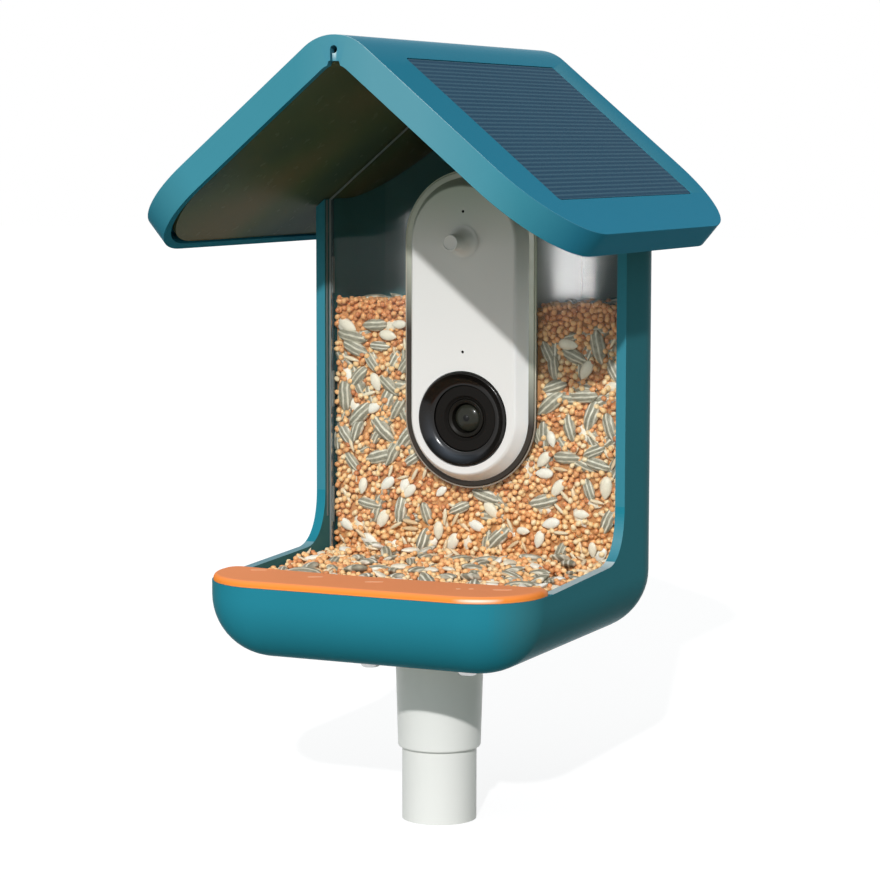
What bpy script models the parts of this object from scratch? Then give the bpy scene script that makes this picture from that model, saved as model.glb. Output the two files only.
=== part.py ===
"""A smart bird feeder on a pole, modelled piece by piece.

The origin is on the pole's axis at its lower end, +Z is up and the feeder faces -Y.
A gabled roof with two solar panels is hinged at the rear over a one-piece housing: side walls,
rounded back, seed tray and perch ledge. A clear window closes the hopper and carries the
pill-shaped camera module, which slides out forwards.
"""

from math import cos, pi, radians, sin

import bmesh
import bpy
from mathutils import Matrix, Vector

MM = 0.001
GAP = 0.3 * MM
BEYOND = 2.0 * MM
TURN_STEPS = 36
SMALL_TURN_STEPS = 18

# Roof: a slab bent over the ridge, measured on its outer skin
ROOF_PITCH = radians(39.9)
RIDGE_Z = 284.0 * MM
RIDGE_RADIUS = 17.0 * MM
RIDGE_STEPS = 12
ROOF_HALF_LENGTH = 107.0 * MM
ROOF_FRONT = -84.5 * MM
ROOF_REAR = 89.0 * MM
ROOF_CORNER = 34.0 * MM
ROOF_CORNER_STEPS = 9
ROOF_THICKNESS = 9.8 * MM
ROOF_EDGE_RADIUS = 2.2 * MM
ROOF_SKIN = 4.7 * MM
ROOF_RIM = 3.0 * MM
LINER_TOP = 7.4 * MM
LINER_BOTTOM = 9.2 * MM
LINER_SIDE_GAP = 0.4 * MM

# Solar panels, set flush in the slopes
PANEL_INNER = 17.1 * MM
PANEL_OUTER = 88.9 * MM
PANEL_FRONT = -60.1 * MM
PANEL_REAR = 68.7 * MM
PANEL_THICKNESS = 2.2 * MM
PANEL_CORNER = 1.5 * MM
PANEL_SUNK = 0.1 * MM
PANEL_SIDE_GAP = 0.35 * MM

# Hanging slot in the roof's front rim
HANG_HOLE_Z = 274.0 * MM
HANG_HOLE_RADIUS = 1.3 * MM
HANG_SLOT_WIDTH = 0.9 * MM
NOTCH_TOP_Z = 270.2 * MM
NOTCH_TOP_HALF = 1.9 * MM
NOTCH_BOTTOM_Z = 262.0 * MM
NOTCH_BOTTOM_HALF = 4.7 * MM

# Housing: walls, back and tray in one moulding
HOUSING_HALF = 61.8 * MM
HOUSING_FRONT = -75.0 * MM
HOUSING_REAR = 80.7 * MM
HOUSING_BOTTOM = 65.3 * MM
HOUSING_TOP = 275.0 * MM
FRONT_CORNER = 24.0 * MM
REAR_CORNER = 38.0 * MM
BOTTOM_FILLET = 22.0 * MM
WALL = 3.6 * MM
CORNER_STEPS = 8
FILLET_STEPS = 7
ROOF_CLEARANCE = 0.4 * MM
DRAIN_RADIUS = 2.2 * MM
DRAIN_X = 36.0 * MM
DRAIN_Y = (-20.0 * MM, 45.0 * MM)

# Sweep from the uprights' front edge down into the tray's rim
UPRIGHT_FRONT = 24.0 * MM
SWEEP_TOP = 114.0 * MM
SWEEP_PULL_TOP = 102.0 * MM
SWEEP_PULL_Y = 18.0 * MM
SWEEP_FOOT_Y = 8.0 * MM
SWEEP_FOOT_Z = 94.0 * MM
RIM_SLOPE = 0.035
SWEEP_STEPS = 12

# Perch: the orange cover on the tray's front ledge
PERCH_BOTTOM = 92.2 * MM
PERCH_TOP = 94.5 * MM
PERCH_INSET = 0.5 * MM
PERCH_BACK = -46.5 * MM
PERCH_BACK_RISE = 3.0 * MM
PERCH_BACK_CORNER = 4.0 * MM
PERCH_BACK_STEPS = 12
PERCH_EDGE_RADIUS = 1.7 * MM
DIVIDER = 3.0 * MM

# Window and its guides
WINDOW_FRONT = 27.0 * MM
WINDOW_BACK = 29.4 * MM
WINDOW_BOTTOM = 86.0 * MM
WINDOW_SIDE_GAP = 0.4 * MM
WINDOW_ROOF_GAP = 0.8 * MM
WINDOW_OPENING_GAP = 0.6 * MM
RAIL_DEPTH = 1.4 * MM
RAIL_BOTTOM = 90.0 * MM
RAIL_TOP = 230.0 * MM
LUG_REACH = 1.5 * MM
LUG_HEIGHT = 13.6 * MM
LUG_MIDDLES = (108.0 * MM, 151.7 * MM, 194.5 * MM)

# Seed: the level in the hopper, and low heaps in the tray that rise towards the window
SEED_LEVEL = 186.0 * MM
TRAY_SEED_LEVEL = 91.3 * MM
# Each wave of the tray's heaps: its height, then rate and phase across the tray and along it
TRAY_WAVES = ((1.0 * MM, 95.0, 0.6, 120.0, 2.0), (0.7 * MM, 210.0, 0.0, 230.0, 1.0))
TRAY_RISE = 2.2 * MM
TRAY_RISE_START = -20.0 * MM
TRAY_FALL_START = 40.0 * MM
TRAY_FALL = 0.06
TRAY_COLUMNS = 10
TRAY_ROWS = 7
SEED_GAP = 0.4 * MM
SEED_TOP = 400.0 * MM

# Camera module, a pill whose end arcs are centred on the lens and on the peg
LENS_Z = 143.5 * MM
PEG_Z = 208.0 * MM
PILL_STEPS = 14
COVER_RADIUS = 23.4 * MM
COVER_FACE = 19.6 * MM
COVER_BACK = 24.1 * MM
COVER_EDGE = 4.0 * MM
COVER_SKIN = 2.0 * MM
COVER_WALL = 2.2 * MM
GASKET_RADIUS = 25.6 * MM
GASKET_INNER = 19.6 * MM
GASKET_FRONT = 24.4 * MM
GASKET_BACK = 26.7 * MM
GASKET_CHAMFER = 0.8 * MM
CASE_RADIUS = 23.6 * MM
CASE_FRONT = 27.0 * MM
CASE_REAR = 80.2 * MM
CASE_SKIN = 2.0 * MM
CASE_REAR_WALL = 3.8 * MM
CASE_INSIDE = CASE_REAR - CASE_REAR_WALL
CASE_EDGE = 1.4 * MM
CASE_SIDE_GAP = 0.5 * MM
BOARD_LEDGE = 46.2 * MM
BOARD_LEDGE_WIDTH = 1.4 * MM
PINHOLE_RADIUS = 0.6 * MM
MICROPHONE_Z = 168.0 * MM
STATUS_LIGHT_Z = 219.0 * MM

# Lens group, heights along -Y
LENS_RING_RADIUS = 17.25 * MM
LENS_RING_LIP = 0.7 * MM
LENS_RECESS_RADIUS = 12.3 * MM
LENS_RING_FRONT = 18.5 * MM
LENS_RING_BACK = 24.6 * MM
FUNNEL_DEPTH = 3.1 * MM
BAFFLE_FRONT = 22.0 * MM
BARREL_RADIUS = 7.0 * MM
BARREL_FRONT = 22.4 * MM
BARREL_BACK = 36.0 * MM
BARREL_BORE = 3.0 * MM
DOME_RADIUS = 5.1 * MM
DOME_HEIGHT = 2.0 * MM
DOME_FOOT = 25.0 * MM
IRIS_FRONT = 27.4 * MM
HOLDER_HALF = 8.0 * MM
HOLDER_FRONT = 30.0 * MM
HOLDER_BACK = 44.0 * MM

# Accessory peg
PEG_TIP = 7.9 * MM
PEG_RADIUS = 3.0 * MM
PEG_FLARE_START = 13.4 * MM
PEG_FOOT_RADIUS = 6.0 * MM
PEG_TAIL_RADIUS = 2.0 * MM

# Board, cells and their cradle
BOARD_THICKNESS = 1.6 * MM
CELL_RADIUS = 9.1 * MM
CELL_X = 9.45 * MM
CELL_Y = 57.5 * MM
CELL_BOTTOM = 143.5 * MM
CELL_TOP = 208.5 * MM
CRADLE_HALF = 18.6 * MM
CRADLE_FRONT = 60.0 * MM
CRADLE_PLATE_BACK = 69.2 * MM
CRADLE_PLATE_Z = (140.0 * MM, 210.0 * MM)
CRADLE_BLOCK_Z = (160.0 * MM, 192.0 * MM)

# Service side of the camera module
BUTTON_Z = 203.0 * MM
BUTTON_RADIUS = 4.2 * MM
BUTTON_FLANGE = 5.4 * MM
BUTTON_FRONT = 74.3 * MM
SWITCH_HALF = 3.0 * MM
SWITCH_BACK = 73.0 * MM
PORT_Z = 150.0 * MM
PORT_HALF_WIDTH = 4.5 * MM
PORT_HALF_HEIGHT = 1.6 * MM
PORT_BACK = 78.0 * MM
FLAP_HALF_WIDTH = 8.0 * MM
FLAP_HALF_HEIGHT = 4.2 * MM
FLAP_THICKNESS = 1.5 * MM
SPEAKER_Z = 134.0 * MM
SPEAKER_RADIUS = 9.5 * MM
SPEAKER_DEPTH = 5.0 * MM
GRILLE_X = (-6.0 * MM, -2.0 * MM, 2.0 * MM, 6.0 * MM)
GRILLE_HALF_WIDTH = 0.8 * MM
GRILLE_HALF_HEIGHT = 5.0 * MM

# Roof hinge at the rear
HINGE_Y = 86.0 * MM
HINGE_Z = 240.0 * MM
KNUCKLE_RADIUS = 3.4 * MM
HINGE_PIN_RADIUS = 1.5 * MM
HINGE_BORE_RADIUS = 1.7 * MM
LEAF_HALF_WIDTH = 13.7 * MM
ARM_FRONT = 82.4 * MM
ARM_BACK = 85.3 * MM
BRACKET_OUTER = 20.0 * MM
BRACKET_FOOT_HALF = 8.0 * MM
BRACKET_FOOT_THICKNESS = 2.0 * MM

# Pole and adapter
POLE_RADIUS = 13.5 * MM
POLE_WALL = 1.5 * MM
POLE_TOP = 58.0 * MM
ADAPTER_BOTTOM = 26.5 * MM
ADAPTER_FOOT_RADIUS = 15.0 * MM
ADAPTER_FOOT_LIP = 0.9 * MM
ADAPTER_NECK_RADIUS = 16.0 * MM
ADAPTER_NECK_FLARE = 1.5 * MM
ADAPTER_TOP_BORE = 10.0 * MM
FLANGE_BOTTOM = 62.3 * MM
FLANGE_RADIUS = 30.5 * MM
SCREW_X = 19.0 * MM
SCREW_Y = 18.0 * MM
SCREW_HOLE_RADIUS = 1.9 * MM
SCREW_RADIUS = 1.6 * MM
SCREW_HEAD_RADIUS = 3.5 * MM
SCREW_HEAD_HEIGHT = 3.8 * MM
WASHER_RADIUS = 4.4 * MM
WASHER_THICKNESS = 1.0 * MM


def clear_scene():
    for obj in list(bpy.data.objects):
        bpy.data.objects.remove(obj)


def make_material(name, colour, roughness, metallic=0.0, transmission=0.0):
    material = bpy.data.materials.new(name)
    material.use_nodes = True
    shader = material.node_tree.nodes["Principled BSDF"]
    shader.inputs["Base Color"].default_value = (*colour, 1.0)
    shader.inputs["Roughness"].default_value = roughness
    shader.inputs["Metallic"].default_value = metallic
    shader.inputs["Transmission Weight"].default_value = transmission
    material.diffuse_color = (*colour, 1.0)
    return material


def new_object(name, vertices, faces):
    """A mesh object whose faces all point out."""
    mesh = bpy.data.meshes.new(name)
    mesh.from_pydata(vertices, [], faces)
    shape = bmesh.new()
    shape.from_mesh(mesh)
    bmesh.ops.remove_doubles(shape, verts=shape.verts, dist=0.001 * MM)
    bmesh.ops.recalc_face_normals(shape, faces=shape.faces)
    shape.to_mesh(mesh)
    shape.free()
    obj = bpy.data.objects.new(name, mesh)
    bpy.context.scene.collection.objects.link(obj)
    return obj


def bake(obj):
    """Replace the mesh by its evaluated one and drop the modifiers."""
    bpy.context.view_layer.update()
    depsgraph = bpy.context.evaluated_depsgraph_get()
    baked = bpy.data.meshes.new_from_object(obj.evaluated_get(depsgraph))
    obj.modifiers.clear()
    obj.data = baked


def combine(obj, tool, operation):
    """Join, cut or intersect with a helper solid, which is then removed."""
    modifier = obj.modifiers.new(operation.lower(), "BOOLEAN")
    modifier.operation = operation
    modifier.solver = "EXACT"
    modifier.object = tool
    bake(obj)
    bpy.data.objects.remove(tool)


def cut(obj, *tools):
    for tool in tools:
        combine(obj, tool, "DIFFERENCE")


def join(obj, *tools):
    for tool in tools:
        combine(obj, tool, "UNION")


def round_edges(obj, width, segments=2, angle=50.0):
    modifier = obj.modifiers.new("edges", "BEVEL")
    modifier.width = width
    modifier.segments = segments
    modifier.limit_method = "ANGLE"
    modifier.angle_limit = radians(angle)
    bake(obj)


def complete(obj, name, material, smooth=True):
    """Name the piece, give it its one material and shade it."""
    obj.name = name
    obj.data.name = name
    obj.data.materials.clear()
    obj.data.materials.append(material)
    for polygon in obj.data.polygons:
        polygon.material_index = 0
    if smooth:
        obj.data.shade_smooth()
        obj.data.set_sharp_from_angle(angle=radians(32.0))
    return obj


def carry(name, place, pieces, carrier=None):
    """An empty on a joint's axis that carries the pieces, with their origins on it too."""
    axis = bpy.data.objects.new(name, None)
    axis.empty_display_size = 10.0 * MM
    bpy.context.scene.collection.objects.link(axis)
    axis.location = place
    if carrier:
        axis.parent = carrier
        axis.location = Vector(place) - carrier.location
    for piece in pieces:
        piece.data.transform(Matrix.Translation(-Vector(place)))
        piece.parent = axis
    return axis


def loft(name, rings, cyclic=False):
    """Skin rings of equal length; capped at both ends unless the rings close on themselves."""
    count = len(rings[0])
    vertices = [point for ring in rings for point in ring]
    faces = []
    spans = len(rings) if cyclic else len(rings) - 1
    for span in range(spans):
        low = span * count
        high = (span + 1) % len(rings) * count
        for step in range(count):
            after = (step + 1) % count
            faces.append((low + step, low + after, high + after, high + step))
    if not cyclic:
        faces.append(tuple(range(count)))
        last = (len(rings) - 1) * count
        faces.append(tuple(last + step for step in range(count)))
    return new_object(name, vertices, faces)


def prism_x(name, outline, low, high):
    """An outline in y and z, extruded along X."""
    return loft(name, [[(x, y, z) for y, z in outline] for x in (low, high)])


def prism_y(name, outline, front, back):
    """An outline in x and z, extruded along Y."""
    return loft(name, [[(x, y, z) for x, z in outline] for y in (front, back)])


def prism_z(name, outline, low, high):
    """An outline in x and y, extruded along Z."""
    return loft(name, [[(x, y, z) for x, y in outline] for z in (low, high)])


def box(name, x_range, y_range, z_range):
    (left, right), (front, back) = x_range, y_range
    outline = [(left, front), (right, front), (right, back), (left, back)]
    return prism_z(name, outline, *z_range)


def arc(centre, radius, start, end, steps):
    """Points on an arc from one angle in degrees to another."""
    points = []
    for step in range(steps + 1):
        angle = radians(start + (end - start) * step / steps)
        points.append((centre[0] + radius * cos(angle), centre[1] + radius * sin(angle)))
    return points


def turned(name, profile, centre=(0.0, 0.0, 0.0), axis="Z", steps=TURN_STEPS):
    """Revolve a closed profile of radius and height about an axis along Y or Z."""
    rings = []
    for radius, height in profile:
        ring = []
        for step in range(steps):
            angle = 2.0 * pi * step / steps
            across, along = radius * cos(angle), radius * sin(angle)
            if axis == "Z":
                ring.append((centre[0] + across, centre[1] + along, centre[2] + height))
            else:
                ring.append((centre[0] + across, centre[1] + height, centre[2] + along))
        rings.append(ring)
    return loft(name, rings, cyclic=True)


def rod(name, radius, low, high, centre, axis, steps=SMALL_TURN_STEPS):
    """A plain cylinder between two heights along an axis."""
    points = arc((0.0, 0.0), radius, 0.0, 360.0 - 360.0 / steps, steps - 1)
    if axis == "Z":
        return prism_z(name, [(centre[0] + a, centre[1] + b) for a, b in points], low, high)
    if axis == "Y":
        return prism_y(name, [(centre[0] + a, centre[2] + b) for a, b in points], low, high)
    return prism_x(name, [(centre[1] + a, centre[2] + b) for a, b in points], low, high)


def roof_point(along, y, depth):
    """A point of the bent roof, by its distance from the ridge line and its depth in the slab."""
    side = 1.0 if along >= 0.0 else -1.0
    distance = abs(along)
    angle = min(distance / RIDGE_RADIUS, ROOF_PITCH)
    straight = max(distance - RIDGE_RADIUS * ROOF_PITCH, 0.0)
    x = (RIDGE_RADIUS - depth) * sin(angle) + straight * cos(ROOF_PITCH)
    z = RIDGE_Z - RIDGE_RADIUS / cos(ROOF_PITCH)
    z += (RIDGE_RADIUS - depth) * cos(angle) - straight * sin(ROOF_PITCH)
    return (side * x, y, z)


def roof_stations(start, end, corner, corner_steps):
    """Distances along the section, each with how far a rounded corner draws the ends in."""
    stations = []
    for step in range(corner_steps + 1):
        angle = radians(90.0 * step / corner_steps)
        stations.append((start + corner * (1.0 - cos(angle)), corner * (1.0 - sin(angle))))
    bend = RIDGE_RADIUS * ROOF_PITCH
    if start < -bend and end > bend:
        for step in range(RIDGE_STEPS + 1):
            stations.append((bend * (2.0 * step / RIDGE_STEPS - 1.0), 0.0))
    for step in range(corner_steps + 1):
        angle = radians(90.0 * (corner_steps - step) / corner_steps)
        stations.append((end - corner * (1.0 - cos(angle)), corner * (1.0 - sin(angle))))
    return stations


def roof_slab(name, start, end, front, rear, top, bottom, corner, corner_steps):
    """A slab with rounded corners that follows the bend of the roof."""
    rings = []
    for along, drawn in roof_stations(start, end, corner, corner_steps):
        edge = ((front + drawn, top), (rear - drawn, top), (rear - drawn, bottom), (front + drawn, bottom))
        rings.append([roof_point(along, y, depth) for y, depth in edge])
    return loft(name, rings)


def above_liner(name, gap):
    """Everything above the roof liner's lower face, less a gap, as a cutter."""
    reach, top = 130.0 * MM, -60.0 * MM
    return roof_slab(name, -reach, reach, -reach, reach, top, LINER_BOTTOM + gap, 1.0 * MM, 1)


def inset_roof_slab(name, inset, top, bottom):
    return roof_slab(name, inset - ROOF_HALF_LENGTH, ROOF_HALF_LENGTH - inset, ROOF_FRONT + inset,
                     ROOF_REAR - inset, top, bottom, ROOF_CORNER - inset, ROOF_CORNER_STEPS)


def panel_slab(name, side, grow, top, bottom):
    start, end = PANEL_INNER - grow, PANEL_OUTER + grow
    if side < 0:
        start, end = -end, -start
    return roof_slab(name, start, end, PANEL_FRONT - grow, PANEL_REAR + grow, top, bottom, PANEL_CORNER, 2)


def plan_outline(inset):
    """The housing seen from above, drawn in by an inset."""
    half = HOUSING_HALF - inset
    front, rear = HOUSING_FRONT + inset, HOUSING_REAR - inset
    front_radius, rear_radius = FRONT_CORNER - inset, REAR_CORNER - inset
    points = arc((half - front_radius, front + front_radius), front_radius, -90.0, 0.0, CORNER_STEPS)
    points += arc((half - rear_radius, rear - rear_radius), rear_radius, 0.0, 90.0, CORNER_STEPS)
    points += arc((rear_radius - half, rear - rear_radius), rear_radius, 90.0, 180.0, CORNER_STEPS)
    points += arc((front_radius - half, front + front_radius), front_radius, 180.0, 270.0, CORNER_STEPS)
    return points


def housing_stack(name, inset, top):
    """The housing's outer form, or its cavity when drawn in, with the rounded bottom edge."""
    radius = BOTTOM_FILLET - inset
    rings = []
    for step in range(FILLET_STEPS + 1):
        angle = radians(90.0 * step / FILLET_STEPS)
        z = HOUSING_BOTTOM + inset + radius * (1.0 - cos(angle))
        rings.append([(x, y, z) for x, y in plan_outline(inset + radius * (1.0 - sin(angle)))])
    rings.append([(x, y, top) for x, y in plan_outline(inset)])
    return loft(name, rings)


def perch_outline(side_grow, back_grow):
    """The perch cover seen from above: the tray's front corners and a hollowed back edge."""
    radius = FRONT_CORNER - PERCH_INSET + side_grow
    centre_x = HOUSING_HALF - FRONT_CORNER
    centre_y = HOUSING_FRONT + FRONT_CORNER
    back_half = centre_x + radius - PERCH_BACK_CORNER
    corner_y = PERCH_BACK + PERCH_BACK_RISE + back_grow - PERCH_BACK_CORNER
    points = arc((-centre_x, centre_y), radius, 180.0, 270.0, CORNER_STEPS)
    points += arc((centre_x, centre_y), radius, 270.0, 360.0, CORNER_STEPS)
    points += arc((back_half, corner_y), PERCH_BACK_CORNER, 0.0, 90.0, 4)
    for step in range(1, PERCH_BACK_STEPS):
        share = 1.0 - 2.0 * step / PERCH_BACK_STEPS
        points.append((back_half * share, PERCH_BACK + back_grow + PERCH_BACK_RISE * share ** 2))
    points += arc((-back_half, corner_y), PERCH_BACK_CORNER, 90.0, 180.0, 4)
    return points


def pill_outline(radius):
    """The camera module's front view: two half circles joined by straight sides."""
    upper = arc((0.0, PEG_Z), radius, 0.0, 180.0, PILL_STEPS)
    return upper + arc((0.0, LENS_Z), radius, 180.0, 360.0, PILL_STEPS)


def pill_loft(name, profile, cyclic=False):
    """Skin pill outlines given as pairs of y and radius."""
    return loft(name, [[(x, y, z) for x, z in pill_outline(radius)] for y, radius in profile], cyclic)


def sweep_outline():
    """Side view of what is cut away in front of the uprights, down to the tray's rim."""
    front, high = 2.0 * HOUSING_FRONT, 2.0 * HOUSING_TOP
    rim_z = SWEEP_FOOT_Z + RIM_SLOPE * (front - SWEEP_FOOT_Y)
    points = [(front, rim_z), (front, high), (UPRIGHT_FRONT, high)]
    corners = ((UPRIGHT_FRONT, SWEEP_TOP), (UPRIGHT_FRONT, SWEEP_PULL_TOP), (SWEEP_PULL_Y, SWEEP_FOOT_Z),
               (SWEEP_FOOT_Y, SWEEP_FOOT_Z))
    for step in range(SWEEP_STEPS + 1):
        t = step / SWEEP_STEPS
        weights = ((1 - t) ** 3, 3 * t * (1 - t) ** 2, 3 * t * t * (1 - t), t ** 3)
        points.append(tuple(sum(w * c[axis] for w, c in zip(weights, corners)) for axis in (0, 1)))
    return points


def window_guides(shell):
    """Full-height rails behind the window and three lugs in front of it, on each side wall."""
    inner = HOUSING_HALF - WALL
    for side in (-1.0, 1.0):
        reach = sorted((side * (inner - LUG_REACH), side * (inner + 0.5 * WALL)))
        behind = (WINDOW_BACK + GAP, WINDOW_BACK + GAP + RAIL_DEPTH)
        join(shell, box("rail", reach, behind, (RAIL_BOTTOM, RAIL_TOP)))
        before = (UPRIGHT_FRONT + 1.0 * MM, WINDOW_FRONT - GAP)
        for middle in LUG_MIDDLES:
            join(shell, box("lug", reach, before, (middle - LUG_HEIGHT / 2, middle + LUG_HEIGHT / 2)))


def bottom_holes(shell):
    """Screw holes for the adapter and drain holes in the tray's floor."""
    low, high = HOUSING_BOTTOM - BEYOND, HOUSING_BOTTOM + WALL + BEYOND
    places = [(x, y, SCREW_HOLE_RADIUS) for x in (-SCREW_X, SCREW_X) for y in (-SCREW_Y, SCREW_Y)]
    places += [(x, y, DRAIN_RADIUS) for x in (-DRAIN_X, DRAIN_X) for y in DRAIN_Y]
    for x, y, radius in places:
        cut(shell, rod("hole", radius, low, high, (x, y, 0.0), "Z", 12))


def housing(material):
    """Walls, back, tray and perch ledge as one shell, open at the front and top."""
    shell = housing_stack("housing", 0.0, HOUSING_TOP)
    reach = 4.0 * MM
    high = 2.0 * PERCH_TOP
    hopper = housing_stack("hopper", WALL, HOUSING_TOP + BEYOND)
    cut(hopper, prism_z("perch_zone", perch_outline(reach, 0.0), 0.0, HOUSING_TOP + 2 * BEYOND))
    pocket = housing_stack("pocket", WALL, PERCH_TOP)
    combine(pocket, prism_z("pocket_zone", perch_outline(reach, -DIVIDER), 0.0, high), "INTERSECT")
    cut(shell, hopper, pocket)
    cut(shell, prism_x("front", sweep_outline(), -2 * HOUSING_HALF, 2 * HOUSING_HALF))
    cut(shell, prism_z("ledge", perch_outline(reach, GAP), PERCH_BOTTOM - GAP, high))
    window_guides(shell)
    cut(shell, above_liner("gable", ROOF_CLEARANCE))
    opening = CASE_RADIUS + CASE_SIDE_GAP
    cut(shell, pill_loft("service", ((CELL_Y, opening), (HOUSING_REAR + 2 * BEYOND, opening))))
    bottom_holes(shell)
    return complete(shell, "housing_shell", material)


def perch_cover(material):
    """A flat cap with a rounded upper edge."""
    steps = 3
    rings = [[(x, y, PERCH_BOTTOM) for x, y in perch_outline(0.0, 0.0)]]
    for step in range(steps + 1):
        angle = radians(90.0 * step / steps)
        drawn = PERCH_EDGE_RADIUS * (1.0 - cos(angle))
        z = PERCH_TOP - PERCH_EDGE_RADIUS * (1.0 - sin(angle))
        rings.append([(x, y, z) for x, y in perch_outline(-drawn, -drawn)])
    return complete(loft("perch", rings), "perch_cover", material)


def window(material):
    """The clear front of the hopper, gabled to the roof, with the camera's opening."""
    half = HOUSING_HALF - WALL - WINDOW_SIDE_GAP
    plate = box("window", (-half, half), (WINDOW_FRONT, WINDOW_BACK), (WINDOW_BOTTOM, HOUSING_TOP + BEYOND))
    cut(plate, above_liner("gable", WINDOW_ROOF_GAP))
    opening = CASE_RADIUS + WINDOW_OPENING_GAP
    span = ((WINDOW_FRONT - BEYOND, opening), (WINDOW_BACK + BEYOND, opening))
    cut(plate, pill_loft("opening", span))
    return complete(plate, "seed_window", material)


def tray_level(x, y):
    """Height of the heaped seed in the tray."""
    waves = 0.0
    for height, across, shift, along, turn in TRAY_WAVES:
        waves += height * sin(across * x + shift) * sin(along * y + turn)
    rise = TRAY_RISE * max(0.0, (y - TRAY_RISE_START) / (WINDOW_FRONT - TRAY_RISE_START)) ** 2
    return TRAY_SEED_LEVEL + waves + rise - TRAY_FALL * max(0.0, abs(x) - TRAY_FALL_START)


def above_tray():
    """Everything over the tray's seed as a cutter: a grid of heights below, flat above."""
    back = WINDOW_BACK + GAP
    columns = [HOUSING_HALF * (2.0 * step / TRAY_COLUMNS - 1.0) for step in range(TRAY_COLUMNS + 1)]
    rows = [PERCH_BACK + (back - PERCH_BACK) * step / TRAY_ROWS for step in range(TRAY_ROWS + 1)]
    rings = []
    for x in columns:
        ring = [(x, y, tray_level(x, y)) for y in rows]
        rings.append(ring + [(x, back, SEED_TOP), (x, PERCH_BACK, SEED_TOP)])
    cutter = loft("above_tray", rings)
    shape = bmesh.new()
    shape.from_mesh(cutter.data)
    bmesh.ops.triangulate(shape, faces=shape.faces)
    shape.to_mesh(cutter.data)
    shape.free()
    return cutter


def seed(material):
    """The seed in the hopper and tray, joined under the window's lower edge."""
    body = housing_stack("seed", WALL + SEED_GAP, SEED_LEVEL)
    cut(body, prism_z("perch_zone", perch_outline(8.0 * MM, SEED_GAP), 0.0, SEED_TOP))
    wide = (-2 * HOUSING_HALF, 2 * HOUSING_HALF)
    cut(body, above_tray())
    slot = (WINDOW_FRONT - GAP, WINDOW_BACK + GAP)
    cut(body, box("window_slot", wide, slot, (WINDOW_BOTTOM - GAP, SEED_TOP)))
    clear = HOUSING_HALF - WALL - LUG_REACH - SEED_GAP
    room = (UPRIGHT_FRONT + 2 * GAP, WINDOW_BACK + GAP + RAIL_DEPTH + SEED_GAP)
    for side in (-1.0, 1.0):
        span = sorted((side * clear, side * HOUSING_HALF))
        cut(body, box("rail_room", span, room, (RAIL_BOTTOM - BEYOND, SEED_TOP)))
    channel = CASE_RADIUS + CASE_SIDE_GAP + 0.2 * MM
    cut(body, pill_loft("channel", ((COVER_FACE, channel), (HOUSING_REAR + 2 * BEYOND, channel))))
    return complete(body, "seed_fill", material)


def roof_shell(material):
    """The outer roof: a bent slab with rounded edges, hollow from below, with two panel pockets."""
    shell = inset_roof_slab("roof", 0.0, 0.0, ROOF_THICKNESS)
    round_edges(shell, ROOF_EDGE_RADIUS, 3)
    cut(shell, inset_roof_slab("hollow", ROOF_RIM, ROOF_SKIN, 1.3 * ROOF_THICKNESS))
    for side in (1, -1):
        cut(shell, panel_slab("pocket", side, PANEL_SIDE_GAP, -BEYOND, PANEL_THICKNESS + GAP))
    front, back = ROOF_FRONT - BEYOND, ROOF_FRONT + ROOF_RIM + BEYOND
    hole = rod("hang_hole", HANG_HOLE_RADIUS, front, back, (0.0, 0.0, HANG_HOLE_Z), "Y", 16)
    slot_x = (-HANG_HOLE_RADIUS, HANG_SLOT_WIDTH - HANG_HOLE_RADIUS)
    slot = box("hang_slot", slot_x, (front, back), (NOTCH_TOP_Z - 1.0 * MM, HANG_HOLE_Z))
    notch = prism_y("notch", [(-NOTCH_BOTTOM_HALF, NOTCH_BOTTOM_Z), (NOTCH_BOTTOM_HALF, NOTCH_BOTTOM_Z),
                              (NOTCH_TOP_HALF, NOTCH_TOP_Z), (-NOTCH_TOP_HALF, NOTCH_TOP_Z)], front, back)
    cut(shell, hole, slot, notch)
    return complete(shell, "roof_shell", material)


def roof_liner(material):
    """The dark underside, set just inside the rim."""
    liner = inset_roof_slab("liner", ROOF_RIM + LINER_SIDE_GAP, LINER_TOP, LINER_BOTTOM)
    return complete(liner, "roof_liner", material)


def solar_panel(side, name, material):
    panel = panel_slab("panel", side, 0.0, PANEL_SUNK, PANEL_THICKNESS)
    return complete(panel, name, material, smooth=False)


def hinge_leaf(material):
    """The roof's half of the hinge: a knuckle with an arm up to the liner."""
    barrel = (0.0, HINGE_Y, HINGE_Z)
    leaf = rod("leaf", KNUCKLE_RADIUS, -LEAF_HALF_WIDTH, LEAF_HALF_WIDTH, barrel, "X", 24)
    wide = (-LEAF_HALF_WIDTH, LEAF_HALF_WIDTH)
    join(leaf, box("arm", wide, (ARM_FRONT, ARM_BACK), (HINGE_Z, HOUSING_TOP)))
    cut(leaf, above_liner("under_roof", GAP))
    cut(leaf, rod("bore", HINGE_BORE_RADIUS, -HOUSING_HALF, HOUSING_HALF, barrel, "X", 24))
    return complete(leaf, "hinge_leaf", material)


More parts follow.
